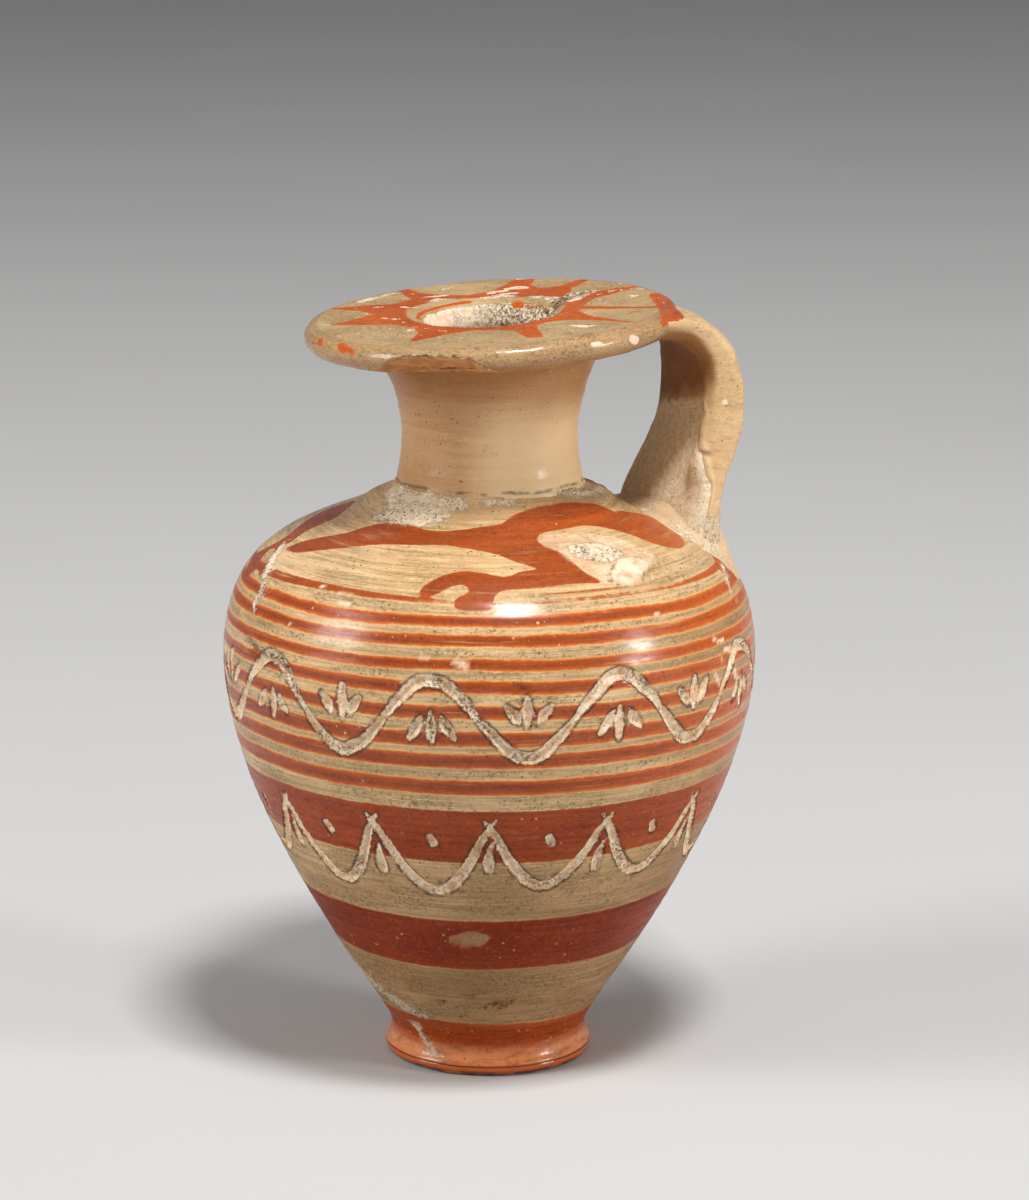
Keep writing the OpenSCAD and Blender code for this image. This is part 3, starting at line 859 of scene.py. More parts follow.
# Corners of its two legs behind
HOUND_LEGS = (
    (159, 41.3), (150, 39.8), (154, 38.5), (166, 36.9), (170, 36.2), (169, 35.1), (165, 34.1), (163, 33.4),
    (167, 32.8), (171, 32.4), (175, 32.8), (176, 33.5), (173, 34.3), (172, 34.9), (176, 35.1), (179, 34.0),
    (180, 33.2), (182, 33.4), (180, 34.6), (178, 35.5), (178, 36.3), (175, 37.6), (174, 39.6), (168, 40.6),
)
# The azimuths by which the two hounds are turned round the axis
HOUND_TURNS = (0.0, 163.0)


def hounds(points):
    """Distance to the running hounds on the shoulder."""
    best = np.full(len(points), 9.0)
    for turn in HOUND_TURNS:
        for corners in (HOUND, HOUND_LEGS):
            best = np.minimum(best, wall_shape(points, corners, turn))
    return best


def scratched_ornament():
    """A waving stem with leaves in its bends, and hanging swags with drops, cut by hand round the vessel."""
    wild = np.random.RandomState(7)
    lines = []
    waves, middle, swing = 9, 27.0, 2.5
    bend = 180 / waves
    for k in range(waves * 2):
        side = 1 if k % 2 == 0 else -1
        start, over = (k - 0.5) * bend, wild.uniform(0.0, 0.5)
        cut = []
        for t in np.linspace(-0.04, 1.04, 9):
            height = middle + side * swing * math.sin(math.pi * t) + wild.uniform(-0.1, 0.1)
            cut.append((start + t * bend, run_at(height), 0.4 - 0.22 * abs(2 * t - 1) ** 3 + 0.04 * over))
        lines.append(cut)
        root = middle + side * (swing - 2.1)
        for lean in (-1, 0, 1):
            foot = start + bend / 2 + lean * 3.1 + wild.uniform(-0.4, 0.4)
            tip = root - side * (1.9 - 0.5 * abs(lean) + wild.uniform(-0.2, 0.3))
            top = root + side * (0.1 - 0.3 * abs(lean))
            lines.append(
                [(foot - lean * 1.0, run_at(top), 0.12), (foot, run_at((top + tip) / 2), 0.36),
                 (foot + lean * 1.6, run_at(tip), 0.2)]
            )
    swags = 13
    wide = 360 / swags
    for k in range(swags):
        start, low = k * wide + 3, 15.2 + wild.uniform(-0.4, 0.4)
        cut = []
        for t in np.linspace(-0.05, 1.05, 12):
            sag = max(0.0, math.sin(math.pi * t)) ** 0.8
            half = 0.38 - 0.2 * abs(2 * t - 1) ** 4
            cut.append((start + wide * t, run_at(20.2 - (20.2 - low) * sag), half))
        lines.append(cut)
        drop = wild.uniform(15.6, 16.6)
        top, waist, tip = run_at(drop + 2.0), run_at(drop + 0.6), run_at(drop)
        lines.append([(start + 0.3, top, 0.1), (start - 0.2, waist, 0.36), (start, tip, 0.3)])
        lines.append([(start + wide / 2, run_at(18.9), 0.25), (start + wide / 2 + 0.8, run_at(18.4), 0.3)])
    return lines


# The scar on the shoulder, as corners of (azimuth, way up the wall): all of it, its crust and its flaked part
SCAR = (
    (-90, 39.8), (-84, 40.5), (-76, 40.4), (-68, 40.0), (-60, 39.2), (-56, 37.8), (-55, 36.5), (-62, 35.4),
    (-68, 34.7), (-74, 34.4), (-78, 34.9), (-82, 36.4), (-86, 38.3),
)
SCAR_CRUST = ((-82, 38.9), (-74, 39.2), (-68, 38.7), (-64, 37.6), (-68, 36.9), (-74, 36.6), (-80, 37.4))
SCAR_FLAKE = ((-70, 36.6), (-63, 36.8), (-61, 35.9), (-64, 35.1), (-70, 34.6), (-75, 34.7), (-76, 35.2))
# Places of damage and deposit on the wall as (azimuth, way up the wall, half width)
PALE_SPOTS = (
    ((-152, 33.95, 0.14), (-151, 33.9, 0.1)),
    ((-146, 33.7, 0.1), (-142, 33.65, 0.12)),
    ((-145, 33.1, 0.2), (-142, 33.0, 0.2)),
    ((-157, 30.95, 0.14), (-156, 30.9, 0.1)),
    ((-115, 29.95, 0.22), (-113, 29.6, 0.26)),
    ((-68, 32.1, 0.14), (-66, 32.0, 0.1)),
    ((-181, 30.6, 0.06), (-181, 29.9, 0.08)),
    ((-52, 29.8, 0.12), (-50, 29.4, 0.1), (-48, 29.4, 0.12)),
    ((-48, 28.8, 0.16), (-45, 28.6, 0.2)),
    ((-50, 28.5, 0.1), (-49, 28.0, 0.12)),
    ((-44, 27.2, 0.2), (-43, 26.7, 0.22), (-41, 26.4, 0.1)),
    ((-53, 27.6, 0.1), (-51, 26.8, 0.14), (-49, 25.9, 0.12)),
    ((-88, 2.6, 0.1), (-84, 2.7, 0.06)),
    ((20, 30.2, 0.2), (24, 30.0, 0.1)),
    ((112, 31.9, 0.2), (115, 32.2, 0.15)),
)
PITS = (
    ((-113, 29.8, 0.2), (-113, 29.6, 0.18)),
    ((-116, 28.3, 0.3), (-116, 28.2, 0.28)),
    ((-126, 28.6, 0.18), (-126, 28.5, 0.15)),
    ((-122, 30.2, 0.2), (-121, 30.1, 0.15)),
    ((-119, 9.0, 0.36), (-116.5, 8.95, 0.6), (-114, 9.1, 0.7), (-111.5, 9.15, 0.62), (-109.3, 9.3, 0.34)),
    ((-129, 2.6, 0.3), (-127, 2.7, 0.2)),
    ((-110, 2.3, 0.16), (-106, 2.7, 0.32), (-102, 2.5, 0.2), (-98, 2.9, 0.26)),
)
CRUST_LINES = (
    ((-185, 36.1, 0.2), (-180, 34.9, 0.55), (-176, 33.8, 0.6), (-174, 33.1, 0.35), (-172, 32.2, 0.5),
     (-172, 31.4, 0.38), (-171, 30.3, 0.15)),
    ((-30, 33.6, 0.35), (-34, 32.8, 0.3), (-36, 31.8, 0.2), (-34, 31.0, 0.15)),
    ((-184, 6.4, 0.3), (-180, 4.8, 0.6), (-172, 3.0, 0.8), (-160, 2.0, 0.75), (-147, 1.2, 0.6),
     (-140, 1.0, 0.3)),
    ((-168, 5.6, 0.1), (-166, 4.0, 0.25), (-163, 2.6, 0.2)),
    ((-112.5, 9.3, 0.14), (-111, 9.1, 0.24), (-109.5, 9.2, 0.1)),
    ((-186, 43.9, 0.35), (-174, 43.6, 0.8), (-160, 43.2, 1.1), (-146, 43.1, 1.2), (-132, 43.3, 1.0),
     (-124, 43.6, 0.6)),
    ((-164, 41.2, 0.4), (-156, 41.7, 0.7), (-146, 41.9, 0.9), (-136, 41.8, 0.7), (-129, 42.3, 0.5)),
    ((-112, 43.9, 0.3), (-103, 43.8, 0.4), (-95, 44.0, 0.25)),
    ((-62, 44.4, 0.2), (-29, 43.3, 0.5), (0, 42.8, 0.6), (30, 43.4, 0.4)),
    ((60, 43.6, 0.6), (85, 43.0, 0.9), (105, 43.8, 0.4)),
    ((70, 33.5, 0.3), (74, 31.0, 0.5), (71, 29.0, 0.3)),
    ((118, 12.0, 0.3), (124, 10.0, 0.5), (122, 8.4, 0.3)),
)
DIRT_LINES = (
    ((-173, 29.4, 0.1), (-168, 28.9, 0.28), (-164, 28.65, 0.22), (-159, 28.7, 0.26), (-155, 28.2, 0.2)),
    ((-173, 33.0, 0.1), (-172, 32.2, 0.16), (-171, 31.2, 0.06)),
    ((-103, 28.7, 0.1), (-100, 28.2, 0.2)),
    ((-121, 9.1, 0.02), (-118, 9.8, 0.05), (-113, 10.0, 0.06), (-109, 9.5, 0.03)),
    ((-112, 2.6, 0.05), (-108, 2.2, 0.12), (-103, 2.25, 0.1), (-99, 2.6, 0.05)),
    ((-107, 3.05, 0.05), (-102, 2.95, 0.1), (-97, 3.3, 0.06)),
    ((-119, 3.7, 0.05), (-115, 3.5, 0.12), (-112, 3.8, 0.05)),
)


def deposit_at(points):
    """Share of deposit at each point, 0 to about 0.9."""
    return 0.85 * ease((0.6 - wall_brush(points, CRUST_LINES)) / 1.35)


# Points round each turned piece, and rows of points up the vessel's wall
BODY_AROUND, FOOT_AROUND, NECK_AROUND, COIL_AROUND, DISC_AROUND = 480, 420, 300, 420, 520
BODY_ROWS = 188


def body_profile():
    """The vessel's outline: base, wall, shoulder joint, and the hollow back down to its floor."""
    outer = evenly(WALL, BODY_ROWS - 1)
    outer = np.vstack([outer[:1], WALL[1:2], outer[1:]])
    inner = (WALL - outwards(WALL) * WALL_T)[::-1]
    inner = inner[(inner[:, 1] < COLLAR_Z) & (inner[:, 1] > FLOOR_Z)]
    inner = np.vstack([[(TENON_R, COLLAR_Z)], inner])
    return joined(
        [(0, FOOT_TOP_Z), (FOOT_TOP_R, FOOT_TOP_Z)],
        outer,
        [(SHOULDER_R, SHOULDER_Z), (TENON_R, SHOULDER_Z), (TENON_R, COLLAR_Z)],
        evenly(inner, 11),
        [(inner[-1][0], FLOOR_Z), (0, FLOOR_Z)],
    )


def wall_fields(place):
    """The wall's painted and damaged places, and how far each point moves out for them."""
    groove = wall_brush(place, scratched_ornament())
    scar, caked, flaked = (wall_shape(place, corners) for corners in (SCAR, SCAR_CRUST, SCAR_FLAKE))
    crust = np.maximum(deposit_at(place), 0.75 * ease((0.25 - caked) / 0.6))
    dirt = ease((0.12 - wall_brush(place, DIRT_LINES)) / 0.3)
    spots, pits = wall_brush(place, PALE_SPOTS), wall_brush(place, PITS)
    ragged = rough(place, 1.1, 3)
    move = -0.27 * ease((-(groove + 0.1 * ragged) + 0.02) / 0.3)
    move += 0.05 * ease((0.5 - np.abs(groove - 0.15)) / 0.5) * (0.5 + ragged * 0.5)
    move += -0.06 * ease(-(scar + 0.2 * ragged) / 0.3)
    move += 0.2 * ease(-(flaked + 0.2 * ragged) / 0.12) * (1 + 0.4 * ragged) - 0.1 * dirt
    move += -0.3 * ease(-(pits + 0.1 * ragged) / 0.3)
    move += 0.14 * crust * (0.7 + rough(place, 0.6, 3, 2.0))
    wheel = np.sin(place[:, 2] * 6.1 + 1.3 * np.sin(place[:, 2] * 1.7)) * 0.01
    move += (wheel + 0.03 * rough(place, 9.0, 2, 5.0)) * ease((place[:, 2] - FOOT_TOP_Z) / 0.9)
    scarred = ease((0.1 - scar - 0.25 * ragged) / 0.3) * 0.55
    scarred = np.maximum(scarred, ease((0.02 - flaked - 0.2 * ragged) / 0.12) * 0.9)
    struck = np.maximum(ease((0.05 - pits) / 0.15), ease((0.02 - spots) / 0.1))
    rim = ease((0.16 - np.abs(flaked + 0.2 * ragged - 0.08)) / 0.1) * ease((ragged + 0.3) / 0.5)
    specked = ease((0.1 - caked) / 0.5) * ease((rough(place, 0.35, 3, 8.0) - 0.05) / 0.3)
    fields = {
        "figure": np.clip(np.minimum(hounds(place), wall_brush(place, TOP_LINE)), -9, 9),
        "groove": np.clip(groove, -9, 9),
        "bare": np.maximum(scarred, struck),
        "crust": crust,
        "dirt": np.maximum.reduce([dirt, 0.8 * rim, specked]),
    }
    return fields, move


def make_body():
    """The round vessel, hollow, with the scratches cut into it."""
    points, outward, faces = turned(body_profile(), BODY_AROUND, False)
    wall = slice(1 + BODY_AROUND, 1 + BODY_AROUND * (1 + BODY_ROWS))
    fields, move = wall_fields(points[wall])
    points[wall] += outward[wall] * move[:, None]
    marks = {}
    for name, values in fields.items():
        marks[name] = np.full(len(points), 9.0 if name in ("figure", "groove") else 0.0)
        marks[name][wall] = values
    return settle(build("vessel_body", points, faces, marks), "body", body_paint())


def make_foot():
    """The turned ring foot with its hollow."""
    edge = [
        (FOOT_FLAT_R + 0.48 * sin(a), FOOT_EDGE_T - FOOT_EDGE_T * cos(a)) for a in np.linspace(0, 90, 9)
    ]
    groove, waist = (FOOT_GROOVE_R, FOOT_GROOVE_Z), (FOOT_WAIST_R, FOOT_WAIST_Z)
    hollow = (FOOT_HOLLOW_R, FOOT_HOLLOW_Z)
    profile = joined(
        [(0, FOOT_HOLLOW_Z), hollow],
        bezier(hollow, (4.7, 1.5), (4.7, 1.4), (4.75, 1.0), 8),
        bezier((4.75, 1.0), (4.85, 0.4), (5.1, 0.05), (FOOT_STAND_R, 0), 8),
        spaced([(FOOT_STAND_R, 0), (FOOT_FLAT_R, 0)], 0.15),
        edge,
        bezier((FOOT_EDGE_R, FOOT_EDGE_T), (6.94, 0.52), (6.93, 0.6), groove, 6),
        bezier(groove, (6.93, 0.74), (6.86, 0.86), (6.78, 0.94), 6),
        bezier((6.78, 0.94), (6.6, 1.14), (6.5, 1.5), waist, 18),
        bezier(waist, (6.54, 2.5), (6.86, 2.9), (FOOT_TOP_R - 0.006, FOOT_TOP_Z - 0.01), 16),
        [(FOOT_TOP_R, FOOT_TOP_Z), (0, FOOT_TOP_Z)],
    )
    points, outward, faces = turned(profile, FOOT_AROUND, False)
    ragged = rough(points, 2.2, 4)
    shown = (points[:, 2] < FOOT_TOP_Z - 0.05) & (points[:, 2] > 0.02)
    fade = ease((FOOT_TOP_Z - 0.05 - points[:, 2]) / 0.8)
    points += outward * (np.where(shown, 0.04 * ragged, 0.0) * fade)[:, None]
    streak = flow(((-152, 3.3, 0.5), (-149, 2.3, 0.3), (-144, 1.6, 0.45), (-138, 1.1, 0.3)))
    a = np.radians(streak[:, 0])
    line = np.stack([6.75 * np.cos(a), 6.75 * np.sin(a), streak[:, 1]], -1)
    far = brush(points, line, streak[:, 2])
    patch = brush(points, np.array([(2.2, -6.5, 1.2), (3.4, -6.0, 1.3)]), 0.35)
    crust = 0.85 * ease((0.55 - np.minimum(far, patch + 0.2)) / 1.1)
    points += outward * (0.08 * crust * (0.6 + ragged) * fade)[:, None]
    return settle(build("ring_foot", points, faces, {"crust": crust}), "foot_ring", foot_paint())


def disc_frame():
    """Where the mouth disc sits."""
    return (
        Matrix.Translation((0, 0, SEAT_Z + DISC_T))
        @ Matrix.Rotation(math.radians(DISC_TURN), 4, "Z")
        @ Matrix.Rotation(math.radians(-DISC_TILT), 4, "Y")
        @ Matrix.Translation((0, 0, -DISC_T))
    )


def placed(points):
    """Points of the disc's own frame in the flask's frame."""
    m = np.array(disc_frame())
    return points @ m[:3, :3].T + m[:3, 3]


def seat_height(x, y):
    """Height of the disc's underside over a place."""
    m = np.array(disc_frame())
    way, start = m[:3, 2], m[:3, 3]
    return start[2] - (way[0] * (x - start[0]) + way[1] * (y - start[1])) / way[2]


def make_neck():
    """The hollow neck, let into the shoulder and cut to the disc's slant."""
    profile = joined(
        [(BORE_R, COLLAR_Z), (TENON_R, COLLAR_Z), (TENON_R, SHOULDER_Z), (NECK_FOOT_R, SHOULDER_Z)],
        spaced(NECK_LINE, 0.16),
        [(NECK_TOP_R, SEAT_Z), (BORE_R + 0.1, SEAT_Z)],
        spaced([(BORE_R, SEAT_Z), (BORE_R, COLLAR_Z + 0.4)], 0.6),
    )
    points, outward, faces = turned(profile, NECK_AROUND, True)
    r = np.hypot(points[:, 0], points[:, 1])
    ragged = rough(points, 3.0, 4)
    shown = (points[:, 2] > SHOULDER_Z + 0.1) & (r > BORE_R + 0.5)
    wheel = np.sin(points[:, 2] * 5.2 + 0.8 * np.sin(points[:, 2])) * 0.014 * (1 + ragged)
    line = -0.05 * ease(1 - np.abs(points[:, 2] - NECK_LINE_Z) / 0.16)
    points += outward * np.where(shown, 0.04 * ragged + wheel + line, 0.0)[:, None]
    lift = ease((points[:, 2] - 44) / (SEAT_Z - 44))
    points[:, 2] += (seat_height(points[:, 0], points[:, 1]) - SEAT_Z) * lift
    marks = {"crust": deposit_at(points)}
    return settle(build("neck_tube", points, faces, marks), "neck", neck_clay())


def make_coil():
    """The coil of clay that seals the neck on the shoulder."""
    against = NECK_LINE[NECK_LINE[:, 1] < COIL_TOP_Z][::-1]
    profile = joined(
        spaced(COIL_LINE, 0.1),
        spaced(against - (0.1, 0.0), 0.3),
        [(NECK_FOOT_R - 0.1, SHOULDER_Z - 0.1), (SHOULDER_R - 0.1, SHOULDER_Z - 0.1)],
    )
    points, outward, faces = turned(profile, COIL_AROUND, True)
    figure = hounds(points)
    crust = deposit_at(points)
    lumps = 0.04 * rough(points, 1.3, 4) + 0.12 * crust * (0.7 + rough(points, 0.6, 3, 2.0))
    points += outward * lumps[:, None]
    marks = {"figure": figure, "crust": crust}
    return settle(build("sealing_coil", points, faces, marks), "neck_coil", coil_clay())


# Corners of the painted star round the hole, and of its inner edge, as (x, y) in mm
STAR = (
    (-3.0, 12.0), (-2.3, 12.3), (-1.9, 9.5), (-0.6, 7.4), (0.6, 6.4), (2.2, 6.8), (3.9, 8.6), (5.7, 11.0),
    (6.8, 10.3), (5.3, 7.4), (5.5, 6.2), (6.8, 6.0), (9.3, 7.6), (9.6, 7.0), (7.3, 4.7), (6.7, 3.0),
    (7.4, 2.2),
    (9.6, 2.9), (11.7, 2.6), (9.7, 1.5), (7.4, 0.3), (6.2, -1.2), (5.0, -3.2), (5.1, -5.2), (7.0, -9.3),
    (5.2, -7.3), (3.7, -5.7), (2.0, -5.5), (1.1, -6.3), (0.3, -10.0), (-0.7, -9.7), (-0.7, -7.1),
    (-1.6, -5.9),
    (-2.9, -5.3), (-4.6, -5.4), (-7.1, -6.5), (-7.5, -6.1), (-6.2, -4.1), (-5.9, -2.2), (-6.8, -0.4),
    (-10.5, 2.1), (-8.4, 2.9), (-6.8, 3.6), (-7.3, 5.4), (-9.1, 7.9), (-6.6, 7.2), (-4.8, 6.6), (-3.1, 7.6),
)
STAR_INNER = (
    (-4.5, 3.9), (-5.2, 1.0), (-4.8, -1.3), (-3.6, -3.2), (-1.8, -4.4), (0.2, -4.6), (2.1, -4.1), (3.8, -2.6),
    (5.1, -0.4), (5.2, 1.4), (3.6, 3.6), (1.4, 4.9), (-0.1, 5.6), (-1.8, 5.7), (-3.4, 5.0),
)
# A thin ray as (azimuth, radius, half width), and the patch of slip that runs on over the handle
THIN_RAY = ((-20, 5.6, 0.6), (-26, 8.3, 0.32), (-28, 11.0, 0.3))
JUNCTION_PATCH = (
    (11.4, -0.6), (11.6, -3.0), (11.3, -6.4), (10.1, -8.6), (8.8, -8.4), (9.6, -5.8), (10.2, -3.2),
    (10.7, -1.0),
)
# Pale film and dark deposit on the disc as (azimuth, radius, half width)
FILM = (
    ((104, 8.0, 0.2), (99, 7.6, 0.3), (95, 7.4, 0.15)), ((109, 6.4, 0.2), (103, 6.7, 0.3)),
    ((73, 6.4, 0.2), (69, 6.9, 0.42), (64, 7.3, 0.3)), ((64, 6.1, 0.3), (57, 6.4, 0.25)),
    ((63, 7.9, 0.35), (58, 8.2, 0.5), (54, 8.0, 0.2)),
    ((-68, 8.3, 0.25), (-66, 9.0, 0.4), (-63, 9.4, 0.2)), ((165, 11.3, 0.08), (168, 10.6, 0.12)),
    ((130, 6.9, 0.15), (132, 6.2, 0.18)), ((136, 8.7, 0.16), (133, 8.2, 0.14)),
    ((161, 7.1, 0.14), (163, 6.8, 0.1)), ((166, 6.3, 0.16), (169, 6.2, 0.1)),
    ((180, 5.9, 0.14), (184, 5.9, 0.1)), ((62, 11.3, 0.2), (58, 11.5, 0.12)),
    ((-168, 6.2, 0.1), (-160, 6.0, 0.08)), ((-140, 6.2, 0.1), (-134, 6.3, 0.08)),
)
DUST = (
    ((132, 10.6, 0.2), (121, 10.8, 0.5), (108, 10.9, 0.4)), ((92, 9.4, 0.3), (86, 10.2, 0.4)),
    ((112, 6.2, 0.35), (104, 6.2, 0.5), (97, 5.9, 0.3)), ((80, 5.0, 0.3), (68, 5.4, 0.6), (56, 5.4, 0.5)),
    ((40, 5.2, 0.4), (25, 5.4, 0.6), (8, 5.4, 0.7), (13, 6.4, 0.9), (19, 7.4, 0.9), (19, 8.6, 0.5)),
)
SOOT = (
    ((-4, 4.6, 0.4), (8, 5.0, 0.5), (14, 6.0, 0.6), (20, 7.2, 0.6), (20, 8.2, 0.3)),
    ((-40, 9.6, 0.1), (-36, 9.9, 0.15)),
)
# Dabs of slip on the lip as (azimuth, radius, height, half width)
DABS = (
    ((-179, 11.9, 1.96, 0.12), (-178, 11.95, 1.88, 0.1)),
    ((-175.5, 11.9, 2.0, 0.14), (-174, 12.0, 1.88, 0.26), (-172.4, 12.03, 1.84, 0.2),
     (-171.3, 12.1, 1.7, 0.1)),
    ((-162.5, 11.75, 2.08, 0.12), (-161, 11.9, 2.0, 0.3), (-158.5, 12.02, 1.86, 0.34),
     (-156, 12.02, 1.86, 0.22), (-154, 12.1, 1.66, 0.14)),
)
# Slip run into the hole, and the pale flecks on the lip, the same way
HOLE_DAUB = (
    (56, 4.3, 2.0, 0.12), (46, 4.2, 1.95, 0.34), (34, 4.1, 1.88, 0.22), (18, 4.05, 1.85, 0.26),
    (0, 4.0, 1.8, 0.12),
)
LIP_FLECKS = (
    ((-60.5, 12.2, 1.45, 0.26), (-59, 12.2, 1.3, 0.24)),
    ((-76, 12.1, 1.7, 0.08), (-73, 12.1, 1.65, 0.1)),
)


def round_brush(points, strokes):
    """Distance to strokes of (azimuth, radius, height, half width)."""
    best = np.full(len(points), 99.0)
    for stroke in strokes:
        s = flow(stroke, 4)
        a = np.radians(s[:, 0])
        line = np.stack([s[:, 1] * np.cos(a), s[:, 1] * np.sin(a), s[:, 2]], -1)
        best = np.minimum(best, brush(points, line, s[:, 3]))
    return best


def flat_brush(points, strokes):
    """The same for strokes of (azimuth, radius, half width) on the disc's top."""
    return round_brush(points, [[(a, r, 0.0, half) for a, r, half in stroke] for stroke in strokes])


# Upper edge of the break in the lip as (azimuth, height on the disc)
CHIP_EDGE = (
    (-151, -0.5), (-149, 0.4), (-147, 0.9), (-145, 0.95), (-143, 0.85), (-141.5, 1.15), (-139.5, 1.5),
    (-136, 1.7), (-132, 1.82), (-126, 1.86), (-119, 1.8), (-114, 1.62), (-110, 1.1), (-106, 0.6),
    (-103, 0.3), (-99, -0.5),
)


def disc_profile():
    """The disc's outline: underside, rounded lip, top, dished edge of the hole and the hole's wall."""
    x, z = LIP_CENTRE
    lip = [(x + LIP_R * cos(a), z + LIP_R * sin(a)) for a in np.linspace(LIP_START, 90, 40)]
    return joined(
        spaced([(BORE_R, 0), (UNDERSIDE_R, 0)], 0.6),
        spaced([(UNDERSIDE_R, 0), lip[0]], 0.2),
        spaced(lip, 0.09),
        spaced([(x, DISC_T), (DISH_R, DISC_T)], 0.16),
        spaced(bezier((DISH_R, DISC_T), (4.6, DISC_T), (4.25, 1.95), (BORE_R + 0.06, 1.0), 30), 0.12),
        spaced([(BORE_R, 0.9), (BORE_R, 0.05)], 0.15),
    )


def disc_fields(points, r, own_azimuth):
    """The disc's painted rays, its film, deposit and soot, on the unbroken shape."""
    angle = np.radians(own_azimuth)
    flat = np.stack([r * np.cos(angle), r * np.sin(angle), np.zeros(len(r))], -1)
    solid = np.column_stack([flat[:, :2], points[:, 2]])
    upper = points[:, 2] > 1.5
    star = np.maximum(flat_shape(flat, STAR), -flat_shape(flat, STAR_INNER, 4))
    rays = np.minimum.reduce([star, flat_brush(flat, (THIN_RAY,)), flat_shape(flat, JUNCTION_PATCH, 4)])
    rays = np.where(upper & (r > BORE_R + 0.2), rays, 9.0)
    rim_line = np.abs(r - 4.72) - 0.14 + 2.0 * (1 - within(own_azimuth, 78, 178, 24))
    rays = np.minimum(rays, np.where(upper, rim_line, 9.0))
    rays = np.minimum(rays, round_brush(solid, DABS))
    film = 0.8 * ease((0.25 - flat_brush(flat, FILM)) / 0.5) * upper
    near_rim = ease((0.14 - np.abs(r - 4.5)) / 0.1) * within(own_azimuth, -175, -25, 30) * upper
    hole = ease((4.5 - r) / 0.2) * (points[:, 2] > 0.02)
    film = np.maximum.reduce([film, 0.75 * near_rim, 0.9 * hole * within(own_azimuth, 95, 215, 30)])
    film = np.maximum(film, ease((0.1 - round_brush(solid, LIP_FLECKS)) / 0.1))
    speckled = hole * within(own_azimuth, -145, 108, 30)
    crust = np.maximum(0.6 * ease((0.2 - flat_brush(flat, DUST)) / 0.5) * upper, 0.8 * speckled)
    sooty = np.maximum(
        ease((0.2 - flat_brush(flat, SOOT)) / 0.4) * upper, 0.75 * hole * within(own_azimuth, -100, 85, 60)
    )
    sooty = np.maximum(sooty, hole * within(own_azimuth, -90, 30, 30))
    # The lip's share, and the disc's lower part that is browned as painted shade.
    return {
        "rays": rays, "film": film, "crust": crust, "sooty": sooty, "daub": round_brush(solid, (HOLE_DAUB,)),
        "lip": ease((r - 11.15) / 0.35), "low": ease((1.5 - points[:, 2]) / 0.9),
    }


def break_lip(points, r, own_azimuth, ragged):
    """Pulls the lip in to a slanting face below the break's edge; returns the marks of the break."""
    edge = np.interp(own_azimuth, [e[0] for e in CHIP_EDGE], [e[1] for e in CHIP_EDGE])
    edge = edge + 0.12 * rough(points, 0.7, 3, 4.0)
    below = edge - points[:, 2]
    slant = 1.15 * within(own_azimuth, -139, -98, 10) + 0.75
    broken_r = 12.0 - slant * np.clip(below, 0, 9) + 0.12 * ragged + 0.06 * rough(points, 0.6, 3, 7.0)
    broken = (below > 0) & (r > broken_r) & (r > 8.4)
    now_r = np.where(broken, broken_r + 0.03 * (r - broken_r), r)
    points[:, :2] *= (now_r / np.maximum(r, 1e-6))[:, None]
    chip = ease(below / 0.12) * ease((r - broken_r + 0.1) / 0.15) * (r > 8.2)
    fresh = ease((0.14 - np.abs(below - 0.08)) / 0.08) * within(own_azimuth, -138, -108, 6)
    fresh = fresh * (r > broken_r - 0.1) * (r > 11.3)
    return {"broken": np.clip(chip * 1.2, 0, 1), "fresh": fresh}


def make_disc():
    """The flat mouth disc with its dished hole, painted rays and broken lip."""
    points, outward, faces = turned(disc_profile(), DISC_AROUND, True)
    r = np.hypot(points[:, 0], points[:, 1])
    own_azimuth = (azimuth_of(points) + DISC_TURN + 180) % 360 - 180
    marks = disc_fields(points, r, own_azimuth)
    ragged = rough(points, 1.6, 4)
    points += outward * (0.03 * ragged + 0.03 * rough(points, 6.0, 2, 3.0))[:, None]
    marks.update(break_lip(points, r, own_azimuth, ragged))
    piece = build("rayed_mouth", placed(points), faces, marks)
    return settle(piece, "mouth_disc", disc_paint())


STRAP_ROWS, STRAP_AROUND = 210, 220
ROOT_RINGS = 46


def strap_line():
    """Middle line of the strap from the mouth to the shoulder, in the x-z plane."""
    root_z = float(np.interp(ROOT_R, UPPER_WALL[::-1, 0], UPPER_WALL[::-1, 1])) + PAD_T
    x0, z0 = STRAP_START
    x1, z1 = STRAP_OUT
    over = bezier((x0, z0), (x0 + 3.19, z0), (x1, z1 + 0.55 * (z0 - z1)), (x1, z1), 120)
    down = bezier(
        (x1, z1),
        (x1, z1 - 0.4 * (z1 - root_z)),
        (ROOT_R + 0.1 * (x1 - ROOT_R), root_z + 0.25 * (z1 - root_z)),
        (ROOT_R, root_z - 1.6),
        120,
    )
    return over, down


def on_disc(points):
    """Places of the flask's frame as seen on the mouth disc, turned back to the flask's azimuth."""
    m = np.array(disc_frame().inverted())
    own = points @ m[:3, :3].T + m[:3, 3]
    c, s = cos(DISC_TURN), sin(DISC_TURN)
    return np.stack([own[:, 0] * c - own[:, 1] * s, own[:, 0] * s + own[:, 1] * c, own[:, 2]], -1)


